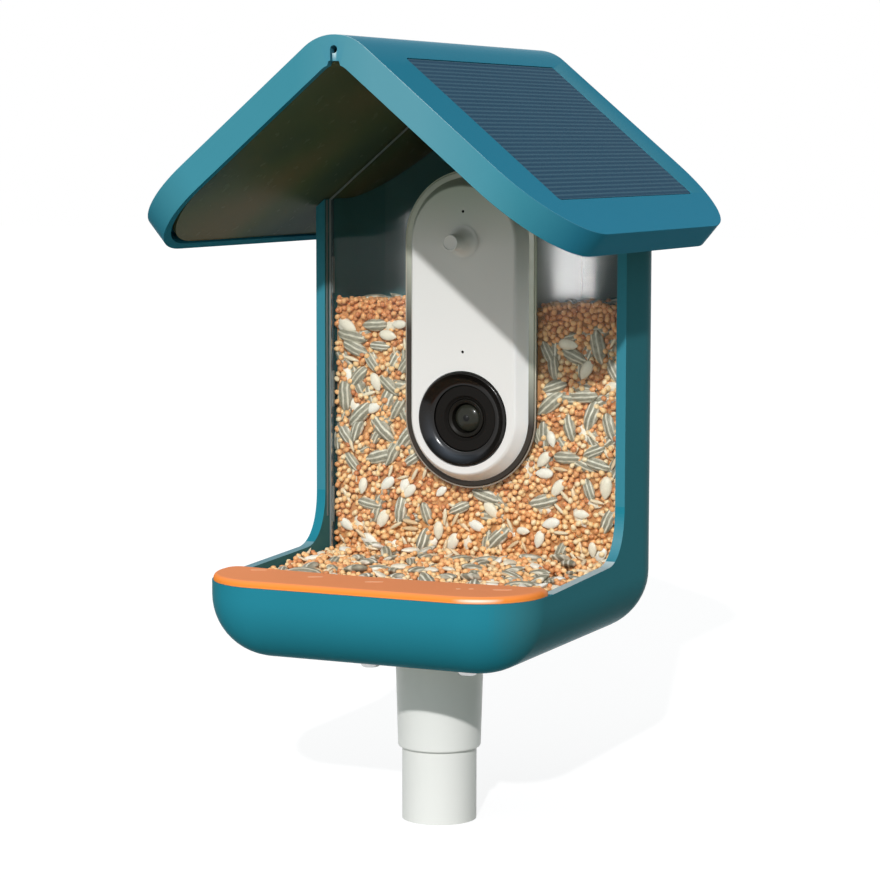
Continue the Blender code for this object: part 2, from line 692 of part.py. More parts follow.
def hinge_brackets(metal, plastic):
    """The back wall's two brackets, on either side of the leaf, and the long pin."""
    barrel = (0.0, HINGE_Y, HINGE_Z)
    wall = HOUSING_REAR + GAP
    for side, name in ((1.0, "hinge_bracket_right"), (-1.0, "hinge_bracket_left")):
        span = sorted((side * (LEAF_HALF_WIDTH + GAP), side * BRACKET_OUTER))
        bracket = rod("bracket", KNUCKLE_RADIUS, span[0], span[1], barrel, "X", 24)
        join(bracket, box("web", span, (wall, HINGE_Y), (HINGE_Z - KNUCKLE_RADIUS, HINGE_Z + 1.0 * MM)))
        join(bracket, box("foot", span, (wall, wall + BRACKET_FOOT_THICKNESS),
                          (HINGE_Z - BRACKET_FOOT_HALF, HINGE_Z + BRACKET_FOOT_HALF)))
        cut(bracket, rod("bore", HINGE_BORE_RADIUS, -HOUSING_HALF, HOUSING_HALF, barrel, "X", 24))
        complete(bracket, name, plastic)
    reach = BRACKET_OUTER + 2 * GAP
    complete(rod("pin", HINGE_PIN_RADIUS, -reach, reach, barrel, "X", 24), "hinge_pin", metal)


def camera_front(material):
    """The crowned white cover with openings for the lens, peg, microphone and light."""
    steps = 5
    profile = [(COVER_BACK, COVER_RADIUS)]
    for step in range(steps + 1):
        angle = radians(90.0 * step / steps)
        profile.append((COVER_FACE + COVER_EDGE * (1.0 - sin(angle)),
                        COVER_RADIUS - COVER_EDGE * (1.0 - cos(angle))))
    cover = pill_loft("cover", profile)
    hollow = COVER_RADIUS - COVER_WALL
    cut(cover, pill_loft("inside", ((COVER_FACE + COVER_SKIN, hollow), (COVER_BACK + BEYOND, hollow))))
    holes = [(LENS_Z, LENS_RING_RADIUS + GAP, TURN_STEPS), (PEG_Z, PEG_TAIL_RADIUS + GAP, 16)]
    holes += [(z, PINHOLE_RADIUS, 10) for z in (MICROPHONE_Z, STATUS_LIGHT_Z)]
    for z, radius, sides in holes:
        cut(cover, rod("hole", radius, COVER_FACE - BEYOND, COVER_BACK + BEYOND, (0.0, 0.0, z), "Y", sides))
    return complete(cover, "camera_front", material)


def camera_gasket(material):
    """The dark seal between cover and window."""
    profile = ((GASKET_BACK, GASKET_RADIUS), (GASKET_FRONT + GASKET_CHAMFER, GASKET_RADIUS),
               (GASKET_FRONT, GASKET_RADIUS - GASKET_CHAMFER), (GASKET_FRONT, GASKET_INNER),
               (GASKET_BACK, GASKET_INNER))
    return complete(pill_loft("gasket", profile, cyclic=True), "camera_gasket", material)


def camera_case(material):
    """The module's deep rear case with its ledge for the board and its service openings."""
    case = pill_loft("case", ((CASE_FRONT, CASE_RADIUS), (CASE_REAR - CASE_EDGE, CASE_RADIUS),
                              (CASE_REAR - 0.3 * CASE_EDGE, CASE_RADIUS - 0.3 * CASE_EDGE),
                              (CASE_REAR, CASE_RADIUS - CASE_EDGE)))
    wide = CASE_RADIUS - CASE_SKIN
    narrow = wide - BOARD_LEDGE_WIDTH
    cut(case, pill_loft("inside", ((CASE_FRONT - BEYOND, wide), (BOARD_LEDGE, wide),
                                   (BOARD_LEDGE, narrow), (CASE_INSIDE, narrow))))
    through = (CASE_INSIDE - BEYOND, CASE_REAR + BEYOND)
    cut(case, rod("button_hole", BUTTON_RADIUS + GAP, *through, (0.0, 0.0, BUTTON_Z), "Y", 24))
    width, height = FLAP_HALF_WIDTH + GAP, FLAP_HALF_HEIGHT + GAP
    recess = (CASE_REAR - FLAP_THICKNESS - GAP, CASE_REAR + BEYOND)
    cut(case, box("flap_recess", (-width, width), recess, (PORT_Z - height, PORT_Z + height)))
    width, height = PORT_HALF_WIDTH + 0.5 * MM, PORT_HALF_HEIGHT + 0.5 * MM
    cut(case, box("port_slot", (-width, width), through, (PORT_Z - height, PORT_Z + height)))
    low, high = SPEAKER_Z - GRILLE_HALF_HEIGHT, SPEAKER_Z + GRILLE_HALF_HEIGHT
    for x in GRILLE_X:
        cut(case, box("grille", (x - GRILLE_HALF_WIDTH, x + GRILLE_HALF_WIDTH), through, (low, high)))
    return complete(case, "camera_case", material)


def lens_ring(material):
    """The glossy ring round the lens, hollowed like a funnel."""
    steps = 5
    mouth = LENS_RING_RADIUS - LENS_RING_LIP
    profile = [(LENS_RING_RADIUS, LENS_RING_BACK), (LENS_RING_RADIUS, LENS_RING_FRONT + LENS_RING_LIP)]
    for step in range(steps + 1):
        share = step / steps
        profile.append((mouth - (mouth - LENS_RECESS_RADIUS) * share,
                        LENS_RING_FRONT + FUNNEL_DEPTH * sin(share * pi / 2)))
    profile.append((LENS_RECESS_RADIUS, LENS_RING_BACK))
    return complete(turned("ring", profile, (0.0, 0.0, LENS_Z), "Y", 44), "lens_ring", material)


def lens_group(glass, dark):
    """The baffle, the barrel, the glass in it and the holder on the board."""
    centre = (0.0, 0.0, LENS_Z)
    outer, inner = LENS_RECESS_RADIUS - GAP, BARREL_RADIUS + GAP
    step_y = BAFFLE_FRONT + 0.9 * MM
    baffle = ((outer, LENS_RING_BACK), (outer, BAFFLE_FRONT), (inner + 1.1 * MM, BAFFLE_FRONT),
              (inner + GAP, step_y), (inner, step_y), (inner, LENS_RING_BACK))
    seat = DOME_RADIUS + GAP
    lip_y, floor_y = BARREL_FRONT + 0.5 * MM, BARREL_FRONT + 4.6 * MM
    barrel = ((BARREL_RADIUS, BARREL_BACK), (BARREL_RADIUS, BARREL_FRONT + 0.4 * MM),
              (BARREL_RADIUS - 0.5 * MM, BARREL_FRONT), (seat + 0.2 * MM, lip_y), (seat, floor_y - 1.0 * MM),
              (BARREL_BORE, floor_y), (BARREL_BORE, BARREL_BACK))
    dome = []
    for point in arc((0.0, 0.0), 1.0, 90.0, 0.0, 5):
        dome.append((DOME_RADIUS * point[0], DOME_FOOT - DOME_HEIGHT * point[1]))
    dome.append((0.0, DOME_FOOT + 2 * GAP))
    iris, tail = BARREL_BORE - GAP, BARREL_BACK - BEYOND
    element = ((0.0, IRIS_FRONT), (iris, IRIS_FRONT), (iris, tail), (0.0, tail))
    holder = box("holder", (-HOLDER_HALF, HOLDER_HALF), (HOLDER_FRONT, HOLDER_BACK),
                 (LENS_Z - HOLDER_HALF, LENS_Z + HOLDER_HALF))
    cut(holder, rod("barrel_room", inner, HOLDER_FRONT - BEYOND, BARREL_BACK + GAP, centre, "Y", 24))
    return [complete(turned("baffle", baffle, centre, "Y"), "lens_baffle", dark),
            complete(turned("barrel", barrel, centre, "Y"), "lens_barrel", dark),
            complete(turned("glass", dome, centre, "Y", 24), "lens_glass", glass),
            complete(turned("inner", element, centre, "Y", 24), "lens_inner_element", glass),
            complete(holder, "lens_holder", dark, smooth=False)]


def accessory_peg(material):
    """A turned peg with a flared foot and a shallow dish in its tip."""
    foot, tail = COVER_FACE - GAP, COVER_BACK - 1.0 * MM
    dish = PEG_TIP + GAP
    profile = [(0.0, dish), (PEG_RADIUS - 0.6 * MM, dish), (PEG_RADIUS - 0.45 * MM, PEG_TIP),
               (PEG_RADIUS - 0.2 * MM, PEG_TIP), (PEG_RADIUS, PEG_TIP + 0.25 * MM)]
    profile.append((PEG_RADIUS, PEG_FLARE_START))
    for point in arc((PEG_FOOT_RADIUS, PEG_FLARE_START), 1.0, 180.0, 90.0, 5)[1:]:
        flare = (PEG_FOOT_RADIUS - PEG_RADIUS) * (point[0] - PEG_FOOT_RADIUS)
        profile.append((PEG_FOOT_RADIUS + flare,
                        PEG_FLARE_START + (foot - PEG_FLARE_START) * (point[1] - PEG_FLARE_START)))
    profile += [(PEG_TAIL_RADIUS, foot), (PEG_TAIL_RADIUS, tail), (0.0, tail)]
    return complete(turned("peg", profile, (0.0, 0.0, PEG_Z), "Y", 24), "accessory_peg", material)


def board_and_cells(board_green, sleeve, dark):
    """The main board on its ledge, two cells behind it and the cradle that holds them."""
    back = BOARD_LEDGE - GAP
    radius = CASE_RADIUS - CASE_SKIN - GAP
    board = pill_loft("board", ((back - BOARD_THICKNESS, radius), (back, radius)))
    pieces = [complete(board, "main_board", board_green, smooth=False)]
    rim, cap_radius = 0.8 * MM, 3.0 * MM
    for side, name in ((1.0, "battery_cell_right"), (-1.0, "battery_cell_left")):
        profile = ((0.0, CELL_BOTTOM), (CELL_RADIUS - rim, CELL_BOTTOM), (CELL_RADIUS, CELL_BOTTOM + rim),
                   (CELL_RADIUS, CELL_TOP - rim), (CELL_RADIUS - rim, CELL_TOP), (cap_radius, CELL_TOP),
                   (cap_radius, CELL_TOP + 1.0 * MM), (0.0, CELL_TOP + 1.0 * MM))
        pieces.append(complete(turned("cell", profile, (side * CELL_X, CELL_Y, 0.0), "Z", 24), name, sleeve))
    wide = (-CRADLE_HALF, CRADLE_HALF)
    cradle = box("plate", wide, (CRADLE_FRONT, CRADLE_PLATE_BACK), CRADLE_PLATE_Z)
    join(cradle, box("block", wide, (CRADLE_FRONT + 1.0 * MM, CASE_INSIDE - GAP), CRADLE_BLOCK_Z))
    low, high = CRADLE_PLATE_Z[0] - BEYOND, CRADLE_PLATE_Z[1] + BEYOND
    for side in (1.0, -1.0):
        place = (side * CELL_X, CELL_Y, 0.0)
        cut(cradle, rod("cell_room", CELL_RADIUS + GAP, low, high, place, "Z", 24))
    pieces.append(complete(cradle, "battery_cradle", dark))
    return pieces


def small_electronics(dark, metal, lit):
    """Speaker, microphone, status light, charging port and the switch behind the power button."""
    rear = CASE_INSIDE - GAP
    basket = rear - 3.0 * MM
    profile = ((0.0, rear - SPEAKER_DEPTH), (6.0 * MM, rear - SPEAKER_DEPTH), (8.0 * MM, basket),
               (SPEAKER_RADIUS, basket), (SPEAKER_RADIUS, rear), (0.0, rear))
    speaker = turned("speaker", profile, (0.0, 0.0, SPEAKER_Z), "Y", 24)
    pieces = [complete(speaker, "speaker", dark)]
    inside = COVER_FACE + COVER_SKIN + GAP
    for name, radius, z, material in (("microphone", 2.0 * MM, MICROPHONE_Z, metal),
                                      ("status_light", 1.5 * MM, STATUS_LIGHT_Z, lit)):
        can = rod(name, radius, inside, inside + 1.5 * MM, (0.0, 0.0, z), "Y")
        pieces.append(complete(can, name, material))
    front, skin = CRADLE_PLATE_BACK + GAP, 0.45 * MM
    half, height = PORT_HALF_WIDTH, PORT_HALF_HEIGHT
    port = box("port", (-half, half), (front, PORT_BACK), (PORT_Z - height, PORT_Z + height))
    half, height = half - skin, height - skin
    cut(port, box("mouth", (-half, half), (front + BEYOND, PORT_BACK + BEYOND),
                  (PORT_Z - height, PORT_Z + height)))
    pieces.append(complete(port, "charging_port", metal, smooth=False))
    switch = box("switch", (-SWITCH_HALF, SWITCH_HALF), (front, SWITCH_BACK),
                 (BUTTON_Z - SWITCH_HALF, BUTTON_Z + SWITCH_HALF))
    pieces.append(complete(switch, "button_switch", dark, smooth=False))
    return pieces


def power_button(rubber):
    """A round button behind the rear wall, kept in by its flange."""
    flange = CASE_INSIDE - GAP
    crown = CASE_REAR + 0.8 * MM
    profile = ((0.0, BUTTON_FRONT), (BUTTON_FLANGE, BUTTON_FRONT), (BUTTON_FLANGE, flange),
               (BUTTON_RADIUS, flange), (BUTTON_RADIUS, crown - 0.5 * MM), (BUTTON_RADIUS - 0.5 * MM, crown),
               (0.0, crown))
    return complete(turned("button", profile, (0.0, 0.0, BUTTON_Z), "Y", 28), "power_button", rubber)


def port_flap(rubber):
    """The charging port's cover, hinged along its lower edge."""
    flap = box("flap", (-FLAP_HALF_WIDTH, FLAP_HALF_WIDTH), (CASE_REAR - FLAP_THICKNESS, CASE_REAR),
               (PORT_Z - FLAP_HALF_HEIGHT, PORT_Z + FLAP_HALF_HEIGHT))
    return complete(flap, "port_flap", rubber, smooth=False)


def adapter_fasteners(x, y, number, metal):
    """A washer under the flange and a socket screw through it into the tray's floor."""
    top = FLANGE_BOTTOM - GAP
    low = top - WASHER_THICKNESS
    washer = ((SCREW_HOLE_RADIUS, low), (WASHER_RADIUS, low), (WASHER_RADIUS, top), (SCREW_HOLE_RADIUS, top))
    complete(turned("washer", washer, (x, y, 0.0), "Z", 14), f"adapter_washer_{number}", metal)
    seat = low - GAP
    foot = seat - SCREW_HEAD_HEIGHT
    socket, floor = SCREW_RADIUS, foot + 2.0 * MM
    end = HOUSING_BOTTOM + WALL - 0.5 * MM
    screw = ((0.0, floor), (socket, floor), (socket, foot), (SCREW_HEAD_RADIUS - 0.5 * MM, foot),
             (SCREW_HEAD_RADIUS, foot + 0.5 * MM), (SCREW_HEAD_RADIUS, seat), (SCREW_RADIUS, seat),
             (SCREW_RADIUS, end), (0.0, end))
    complete(turned("screw", screw, (x, y, 0.0), "Z", 14), f"adapter_screw_{number}", metal)


def pole_and_adapter(material, metal):
    """The pole, the tapered adapter with its flange, and four flange screws with washers."""
    bore, lip = POLE_RADIUS + GAP, ADAPTER_FOOT_LIP
    flange_top = HOUSING_BOTTOM - GAP
    shoulder = POLE_TOP + GAP + 1.0 * MM
    profile = ((bore, ADAPTER_BOTTOM), (ADAPTER_FOOT_RADIUS - lip, ADAPTER_BOTTOM),
               (ADAPTER_FOOT_RADIUS - 0.25 * lip, ADAPTER_BOTTOM + 0.4 * lip),
               (ADAPTER_FOOT_RADIUS, ADAPTER_BOTTOM + 1.6 * lip),
               (ADAPTER_NECK_RADIUS, FLANGE_BOTTOM - ADAPTER_NECK_FLARE),
               (ADAPTER_NECK_RADIUS + ADAPTER_NECK_FLARE, FLANGE_BOTTOM), (FLANGE_RADIUS, FLANGE_BOTTOM),
               (FLANGE_RADIUS, flange_top), (ADAPTER_TOP_BORE, flange_top), (ADAPTER_TOP_BORE, shoulder),
               (bore, shoulder))
    adapter = turned("adapter", profile)
    low, high = FLANGE_BOTTOM - BEYOND, flange_top + BEYOND
    places = [(x, y) for x in (-SCREW_X, SCREW_X) for y in (-SCREW_Y, SCREW_Y)]
    for number, (x, y) in enumerate(places, start=1):
        cut(adapter, rod("hole", SCREW_HOLE_RADIUS, low, high, (x, y, 0.0), "Z", 12))
        adapter_fasteners(x, y, number, metal)
    complete(adapter, "pole_adapter", material)
    inner = POLE_RADIUS - POLE_WALL
    pole = ((inner, 0.0), (POLE_RADIUS, 0.0), (POLE_RADIUS, POLE_TOP), (inner, POLE_TOP))
    complete(turned("pole", pole), "pole_tube", material)


def build():
    clear_scene()
    teal = make_material("teal_plastic", (0.025, 0.22, 0.29), 0.42)
    liner = make_material("liner_plastic", (0.02, 0.035, 0.035), 0.25)
    orange = make_material("orange_plastic", (0.85, 0.24, 0.06), 0.45)
    clear = make_material("clear_plastic", (0.95, 0.96, 0.95), 0.05, transmission=1.0)
    solar = make_material("solar_glass", (0.01, 0.03, 0.09), 0.2)
    white = make_material("white_plastic", (0.75, 0.74, 0.72), 0.4)
    rubber = make_material("gasket_rubber", (0.03, 0.028, 0.025), 0.3)
    dark = make_material("dark_plastic", (0.02, 0.02, 0.022), 0.45)
    black = make_material("gloss_black", (0.01, 0.01, 0.011), 0.12)
    glass = make_material("lens_glass", (0.02, 0.025, 0.02), 0.03)
    steel = make_material("steel", (0.6, 0.6, 0.6), 0.3, metallic=1.0)
    green = make_material("board_green", (0.03, 0.16, 0.07), 0.5)
    sleeve = make_material("cell_sleeve", (0.05, 0.12, 0.3), 0.4)
    light = make_material("light_lens", (0.8, 0.85, 0.8), 0.2)
    grain = make_material("seed_mix", (0.72, 0.5, 0.28), 0.8)

    housing(teal)
    perch_cover(orange)
    window(clear)
    seed(grain)
    hinge_brackets(steel, teal)
    pole_and_adapter(white, steel)

    roof = [roof_shell(teal), roof_liner(liner), solar_panel(1, "solar_panel_right", solar),
            solar_panel(-1, "solar_panel_left", solar), hinge_leaf(teal)]
    carry("roof_hinge_axis", (0.0, HINGE_Y, HINGE_Z), roof)

    camera = [camera_front(white), camera_gasket(rubber), camera_case(white), lens_ring(black),
              accessory_peg(white)]
    camera += lens_group(glass, dark) + board_and_cells(green, sleeve, dark)
    camera += small_electronics(dark, steel, light)
    slide = carry("camera_slide_axis", (0.0, CASE_FRONT, LENS_Z), camera)
    carry("power_button_axis", (0.0, CASE_REAR, BUTTON_Z), [power_button(rubber)], slide)
    hinge_line = (0.0, CASE_REAR, PORT_Z - FLAP_HALF_HEIGHT)
    carry("port_flap_axis", hinge_line, [port_flap(rubber)], slide)


build()
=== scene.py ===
"""The smart bird feeder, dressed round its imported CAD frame.

Metres throughout, +Z up, the feeder faces -Y. Fine versions of the CAD pieces are lofted and cut
here from the same named sizes, and loose seed fills the hopper and the tray.
"""

from math import atan2, comb, cos, degrees, pi, radians, sin, sqrt

import bmesh
import bpy
import numpy as np
from mathutils import Matrix, Vector

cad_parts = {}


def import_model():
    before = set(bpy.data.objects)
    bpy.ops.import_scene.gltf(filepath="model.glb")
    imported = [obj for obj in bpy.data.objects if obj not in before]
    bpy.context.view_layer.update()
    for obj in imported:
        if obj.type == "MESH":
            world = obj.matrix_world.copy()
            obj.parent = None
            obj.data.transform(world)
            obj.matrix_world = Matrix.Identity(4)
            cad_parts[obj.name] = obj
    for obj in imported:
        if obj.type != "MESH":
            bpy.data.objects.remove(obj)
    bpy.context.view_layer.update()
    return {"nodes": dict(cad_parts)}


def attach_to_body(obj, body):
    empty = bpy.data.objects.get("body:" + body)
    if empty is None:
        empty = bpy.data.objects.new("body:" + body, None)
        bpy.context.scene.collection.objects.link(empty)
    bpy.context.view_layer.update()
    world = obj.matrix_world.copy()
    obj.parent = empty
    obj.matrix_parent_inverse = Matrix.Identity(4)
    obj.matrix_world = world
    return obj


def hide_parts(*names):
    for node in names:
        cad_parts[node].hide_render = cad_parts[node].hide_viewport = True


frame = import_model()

NODES = frame["nodes"]
MM = 0.001


def mm(*sizes):
    """Sizes in millimetres, as metres."""
    return tuple(size * MM for size in sizes)


GAP, BEYOND = mm(0.3, 2.0)
TURN_STEPS = 96
SMOOTH_ANGLE = radians(32.0)

# Roof
ROOF_PITCH = radians(39.9)
RIDGE_Z, RIDGE_RADIUS = mm(284.0, 17.0)
RIDGE_STEPS = 24
ROOF_HALF_LENGTH, ROOF_FRONT, ROOF_REAR, ROOF_CORNER = mm(106.75, -84.5, 89.0, 34.0)
ROOF_CORNER_STEPS = 22
ROOF_THICKNESS, ROOF_EDGE_RADIUS, ROOF_SKIN, ROOF_RIM = mm(9.8, 2.2, 4.7, 3.0)
LINER_TOP, LINER_BOTTOM, LINER_SIDE_GAP, LINER_CORNER = mm(7.4, 9.2, 0.4, 39.0)
PANEL_INNER, PANEL_OUTER, PANEL_FRONT, PANEL_REAR = mm(17.1, 88.9, -60.1, 68.7)
PANEL_THICKNESS, PANEL_CORNER, PANEL_SUNK, PANEL_SIDE_GAP = mm(2.2, 1.5, 0.1, 0.35)
PANEL_EDGE, PANEL_LINE_PITCH, PANEL_LINE_HEIGHT = mm(0.15, 2.05, 0.03)
HANG_HOLE_Z, HANG_HOLE_RADIUS, HANG_SLOT_WIDTH = mm(274.0, 1.3, 0.9)
NOTCH_TOP_Z, NOTCH_TOP_HALF, NOTCH_BOTTOM_Z, NOTCH_BOTTOM_HALF = mm(270.2, 1.9, 262.0, 4.7)

# Housing
HOUSING_HALF, HOUSING_FRONT, HOUSING_REAR = mm(61.8, -75.0, 80.7)
HOUSING_BOTTOM, HOUSING_TOP, WALL, ROOF_CLEARANCE = mm(65.3, 275.0, 3.6, 0.4)
FRONT_CORNER, REAR_CORNER, BOTTOM_FILLET = mm(24.0, 38.0, 22.0)
CORNER_STEPS, FILLET_STEPS, SWEEP_STEPS = 20, 14, 28
DRAIN_RADIUS, DRAIN_X = mm(2.2, 36.0)
DRAIN_Y = mm(-20.0, 45.0)
UPRIGHT_FRONT, SWEEP_TOP, SWEEP_PULL_TOP = mm(24.0, 114.0, 102.0)
SWEEP_PULL_Y, SWEEP_FOOT_Y, SWEEP_FOOT_Z = mm(18.0, 8.0, 94.0)
RIM_SLOPE = 0.035

# Perch; the marks' ends are in millimetres
PERCH_BOTTOM, PERCH_TOP, PERCH_INSET = mm(92.2, 94.5, 0.5)
PERCH_BACK, PERCH_BACK_RISE, PERCH_BACK_CORNER = mm(-46.5, 3.0, 4.0)
PERCH_BACK_STEPS, PERCH_EDGE_STEPS = 28, 8
PERCH_EDGE_RADIUS, PERCH_SEAT_GAP, DIVIDER = mm(1.7, 0.05, 3.0)
PERCH_MARKS = (((-48.9, -51.5), (-44.5, -49.4)), ((-23.6, -57.2), (-19.5, -55.3)),
               ((-0.9, -58.9), (4.1, -56.5)), ((33.4, -59.4), (34.2, -59.0)),
               ((37.3, -57.6), (38.1, -57.2)), ((45.5, -56.1), (50.7, -53.7)))
MARK_WIDTH, MARK_HEIGHT, MARK_EDGE = mm(0.8, 0.12, 0.05)
GLINT_X, GLINT_REACH = mm(46.5, 7.5)

# Window and its guides
WINDOW_FRONT, WINDOW_BACK, WINDOW_BOTTOM = mm(27.0, 29.4, 86.0)
WINDOW_SIDE_GAP, WINDOW_ROOF_GAP, WINDOW_OPENING_GAP = mm(0.4, 0.8, 0.6)
RAIL_DEPTH, RAIL_BOTTOM, RAIL_TOP, RAIL_EDGE = mm(1.4, 90.0, 230.0, 0.12)
GUIDE_REACH, GUIDE_SET_OFF = mm(0.5, 0.02)
LUG_REACH, LUG_HEIGHT, LUG_SPARE, LUG_EDGE = mm(0.8, 13.6, 0.05, 0.2)
LUG_MIDDLES = mm(108.0, 151.7, 194.5)
BORDER_WIDTH, BORDER_PROUD = mm(0.75, 0.2)
BEAD_WIDTH, BEAD_BOTTOM, BEAD_EDGE = mm(0.2, 104.0, 0.06)
BEAD_Y = mm(25.1, 26.2)
PANE_LIP_GAP, PANE_LIP_WIDTH, PANE_LIP_PROUD, PANE_LIP_CROWN = mm(0.1, 0.5, 0.4, 0.2)

# Camera module
LENS_Z, PEG_Z, MICROPHONE_Z, STATUS_LIGHT_Z = mm(143.5, 208.0, 168.0, 219.0)
PILL_STEPS, COVER_STEPS = 44, 12
COVER_RADIUS, COVER_FACE, COVER_BACK, COVER_SKIRT = mm(23.4, 19.6, 24.1, 26.0)
COVER_EDGE = (mm(19.6, 19.8), mm(19.6, 20.4), mm(20.8, 21.0))
COVER_SKIN, COVER_WALL, PINHOLE_RADIUS, PINHOLE_GAP = mm(2.0, 1.8, 0.55, 0.02)
GASKET_RADIUS, GASKET_INNER, GASKET_FRONT, GASKET_BACK, GASKET_CHAMFER = mm(25.5, 19.6, 26.05, 26.7, 0.4)
CASE_RADIUS, CASE_SIDE_GAP, SERVICE_GAP, CELL_Y = mm(23.6, 0.5, 0.05, 57.5)

# Lens group and accessory peg
LENS_RING_RADIUS, LENS_RING_LIP, LENS_RING_FRONT, LENS_RING_BACK = mm(17.25, 0.7, 18.5, 24.6)
LENS_RING_STEPS, FUNNEL_STEPS = 128, 14
LENS_RECESS_RADIUS, FUNNEL_DEPTH = mm(12.3, 3.1)
BAFFLE_FRONT, BAFFLE_EDGE, BAFFLE_STEP, BAFFLE_STEP_WIDTH = mm(22.0, 0.2, 0.9, 1.1)
BARREL_RADIUS, BARREL_FRONT, BARREL_BACK, BARREL_BORE = mm(7.0, 22.4, 36.0, 3.0)
BARREL_EDGE, BARREL_LIP, BARREL_FLOOR, BARREL_TAPER = mm(0.4, 0.5, 4.6, 1.0)
DOME_RADIUS, DOME_HEIGHT, DOME_FOOT = mm(5.1, 2.0, 25.0)
PUPIL_RADIUS, PUPIL_EDGE, SHEEN_RADIUS, SHEEN_HALF = mm(1.0, 0.5, 14.3, 2.2)
SHEEN_TURN, SHEEN_REACH = -118.0, 75.0
PEG_TIP, PEG_RADIUS, PEG_EDGE, PEG_TIP_RIM = mm(7.9, 3.0, 0.25, 0.6)
PEG_FLARE_START, PEG_FOOT_RADIUS, PEG_TAIL_RADIUS = mm(13.4, 6.0, 2.0)

# Pole and adapter
POLE_RADIUS, POLE_WALL, POLE_TOP, POLE_EDGE = mm(13.5, 1.5, 58.0, 0.25)
ADAPTER_BOTTOM, ADAPTER_FOOT_RADIUS, ADAPTER_FOOT_LIP = mm(26.5, 15.0, 0.9)
ADAPTER_NECK_RADIUS, ADAPTER_NECK_FLARE, ADAPTER_TOP_BORE = mm(16.0, 1.5, 10.0)
FLANGE_BOTTOM, FLANGE_RADIUS, FLANGE_EDGE = mm(62.3, 30.5, 0.4)
SCREW_X, SCREW_Y, SCREW_HOLE_RADIUS, SCREW_RADIUS = mm(19.0, 18.0, 1.9, 1.6)
SCREW_HEAD_RADIUS, SCREW_HEAD_HEIGHT, SCREW_HEAD_CURVE = mm(3.5, 3.8, 1.1)
WASHER_RADIUS, WASHER_THICKNESS, WASHER_EDGE = mm(4.4, 1.0, 0.15)
SCREW_PLACES = [(x, y) for x in (-SCREW_X, SCREW_X) for y in (-SCREW_Y, SCREW_Y)]
FASTENER_STEPS = 40

# Seed: half sizes of the kinds, then how they fill the hopper and the tray
MILLET_RADIUS = 1.2 * MM
SUNFLOWER, CREAM_SEED, HUSK = mm(5.4, 2.75, 1.6), mm(3.6, 2.3, 1.1), mm(3.0, 0.85, 0.6)
LONG_KINDS = (("sunflower", SUNFLOWER), ("cream", CREAM_SEED), ("husk", HUSK))
HALF_THICKNESS = {"sunflower": SUNFLOWER[2], "cream": CREAM_SEED[2], "husk": HUSK[2], "millet": MILLET_RADIUS}
RANDOM_SEED = 20261130
SEED_LEVEL, TRAY_SEED_LEVEL, SEED_GAP, SEED_TOP = mm(186.0, 91.3, 0.4, 400.0)
BED_SHRINK, BED_DROP, SEED_FOOT = mm(3.2, 2.2, 88.0)
# Where the seed mix changes below the lens, and where the millet's painted shade under the roof begins and
# how far it runs.
LENS_BAND_BOTTOM, SEED_SHADE_BOTTOM, SEED_SHADE_SPAN = mm(126.0, 170.0, 12.0)
TRAY_WAVES = ((1.0 * MM, 95.0, 0.6, 120.0, 2.0), (0.7 * MM, 210.0, 0.0, 230.0, 1.0))
TRAY_RISE, TRAY_RISE_START, TRAY_FALL_START = mm(2.2, -20.0, 40.0)
TRAY_FALL = 0.06
TRAY_LIMITS = (mm(-58.0, -47.0), mm(58.0, 27.0))
TRAY_LAYERS = ((0.0, (46, 26, 60)), (1.5 * MM, (16, 8, 16)))
TOP_LIMITS = (mm(-58.0, 30.0), mm(58.0, 77.0))
TOP_LAYER = (26, 12, 20)
WINDOW_WAVES = ((1.2 * MM, 180.0, 0.0), (0.8 * MM, 410.0, 1.0))
WINDOW_SEED_GAP, WINDOW_SEED_RISE, LONG_SEED_DROP = mm(0.3, 0.5, 9.0)
TOP_SEED_START, TOP_LONG_START, TOP_DROP = mm(1.5, 16.0, 1.4)
BURIED_DEPTH, BEHIND_DEPTH = mm(1.1, 1.2)
# Long seeds of a layer by kind, and how closely each kind may pack
BURIED_LAYER, BURIED_SLACKS = (40, 20, 24), (0.55, 0.75, 0.8)
FACE_LAYER, FACE_SLACKS = (46, 30, 34), (0.55, 0.8, 0.8)
# Millet: how closely it may pack, and how many places are tried
FACE_MILLET, BEHIND_MILLET = (0.84, 15000), (0.8, 26000)
TRAY_MILLET, TOP_MILLET = (0.86, 24000), (0.86, 14000)
STRIPED_BELOW_LENS, CREAM_BELOW_LENS = 0.09, 0.3
TRIES_PER_SEED, DISC_SHARES, DISC_SHRINK = 60, (-0.62, 0.0, 0.62), 0.86
# How far a laid seed strays, tilts and leans
WINDOW_STRAY, WINDOW_TILT = 0.5 * MM, 0.06
TRAY_STRAY, TRAY_TILT, TRAY_LEAN = (-0.5, 0.9), 0.35, 0.2
TOP_STRAY, TOP_TILT, TOP_LEAN = 0.6, 0.2, 0.12
# The last value is how far the millet's painted shade darkens it at the top of the window's fill.
GRAIN_FLATNESS, SIZE_LIMITS, TOP_SEED_SHADE = 0.94, (0.75, 1.2), 0.6

# Camera of the picture, solved from the photograph's straight edges
VIEW_AZIMUTH, VIEW_PITCH, VIEW_ROLL = radians(24.46), radians(6.03), radians(0.11)
VIEW_DISTANCE, VIEW_ASIDE = mm(1031.08, -9.94)
VIEW_TARGET = Vector((0.0, 24.0, 135.37)) * MM
SENSOR, FOCAL_PIXELS, FRAME_PIXELS = 36.0, 2814.0, 880.0

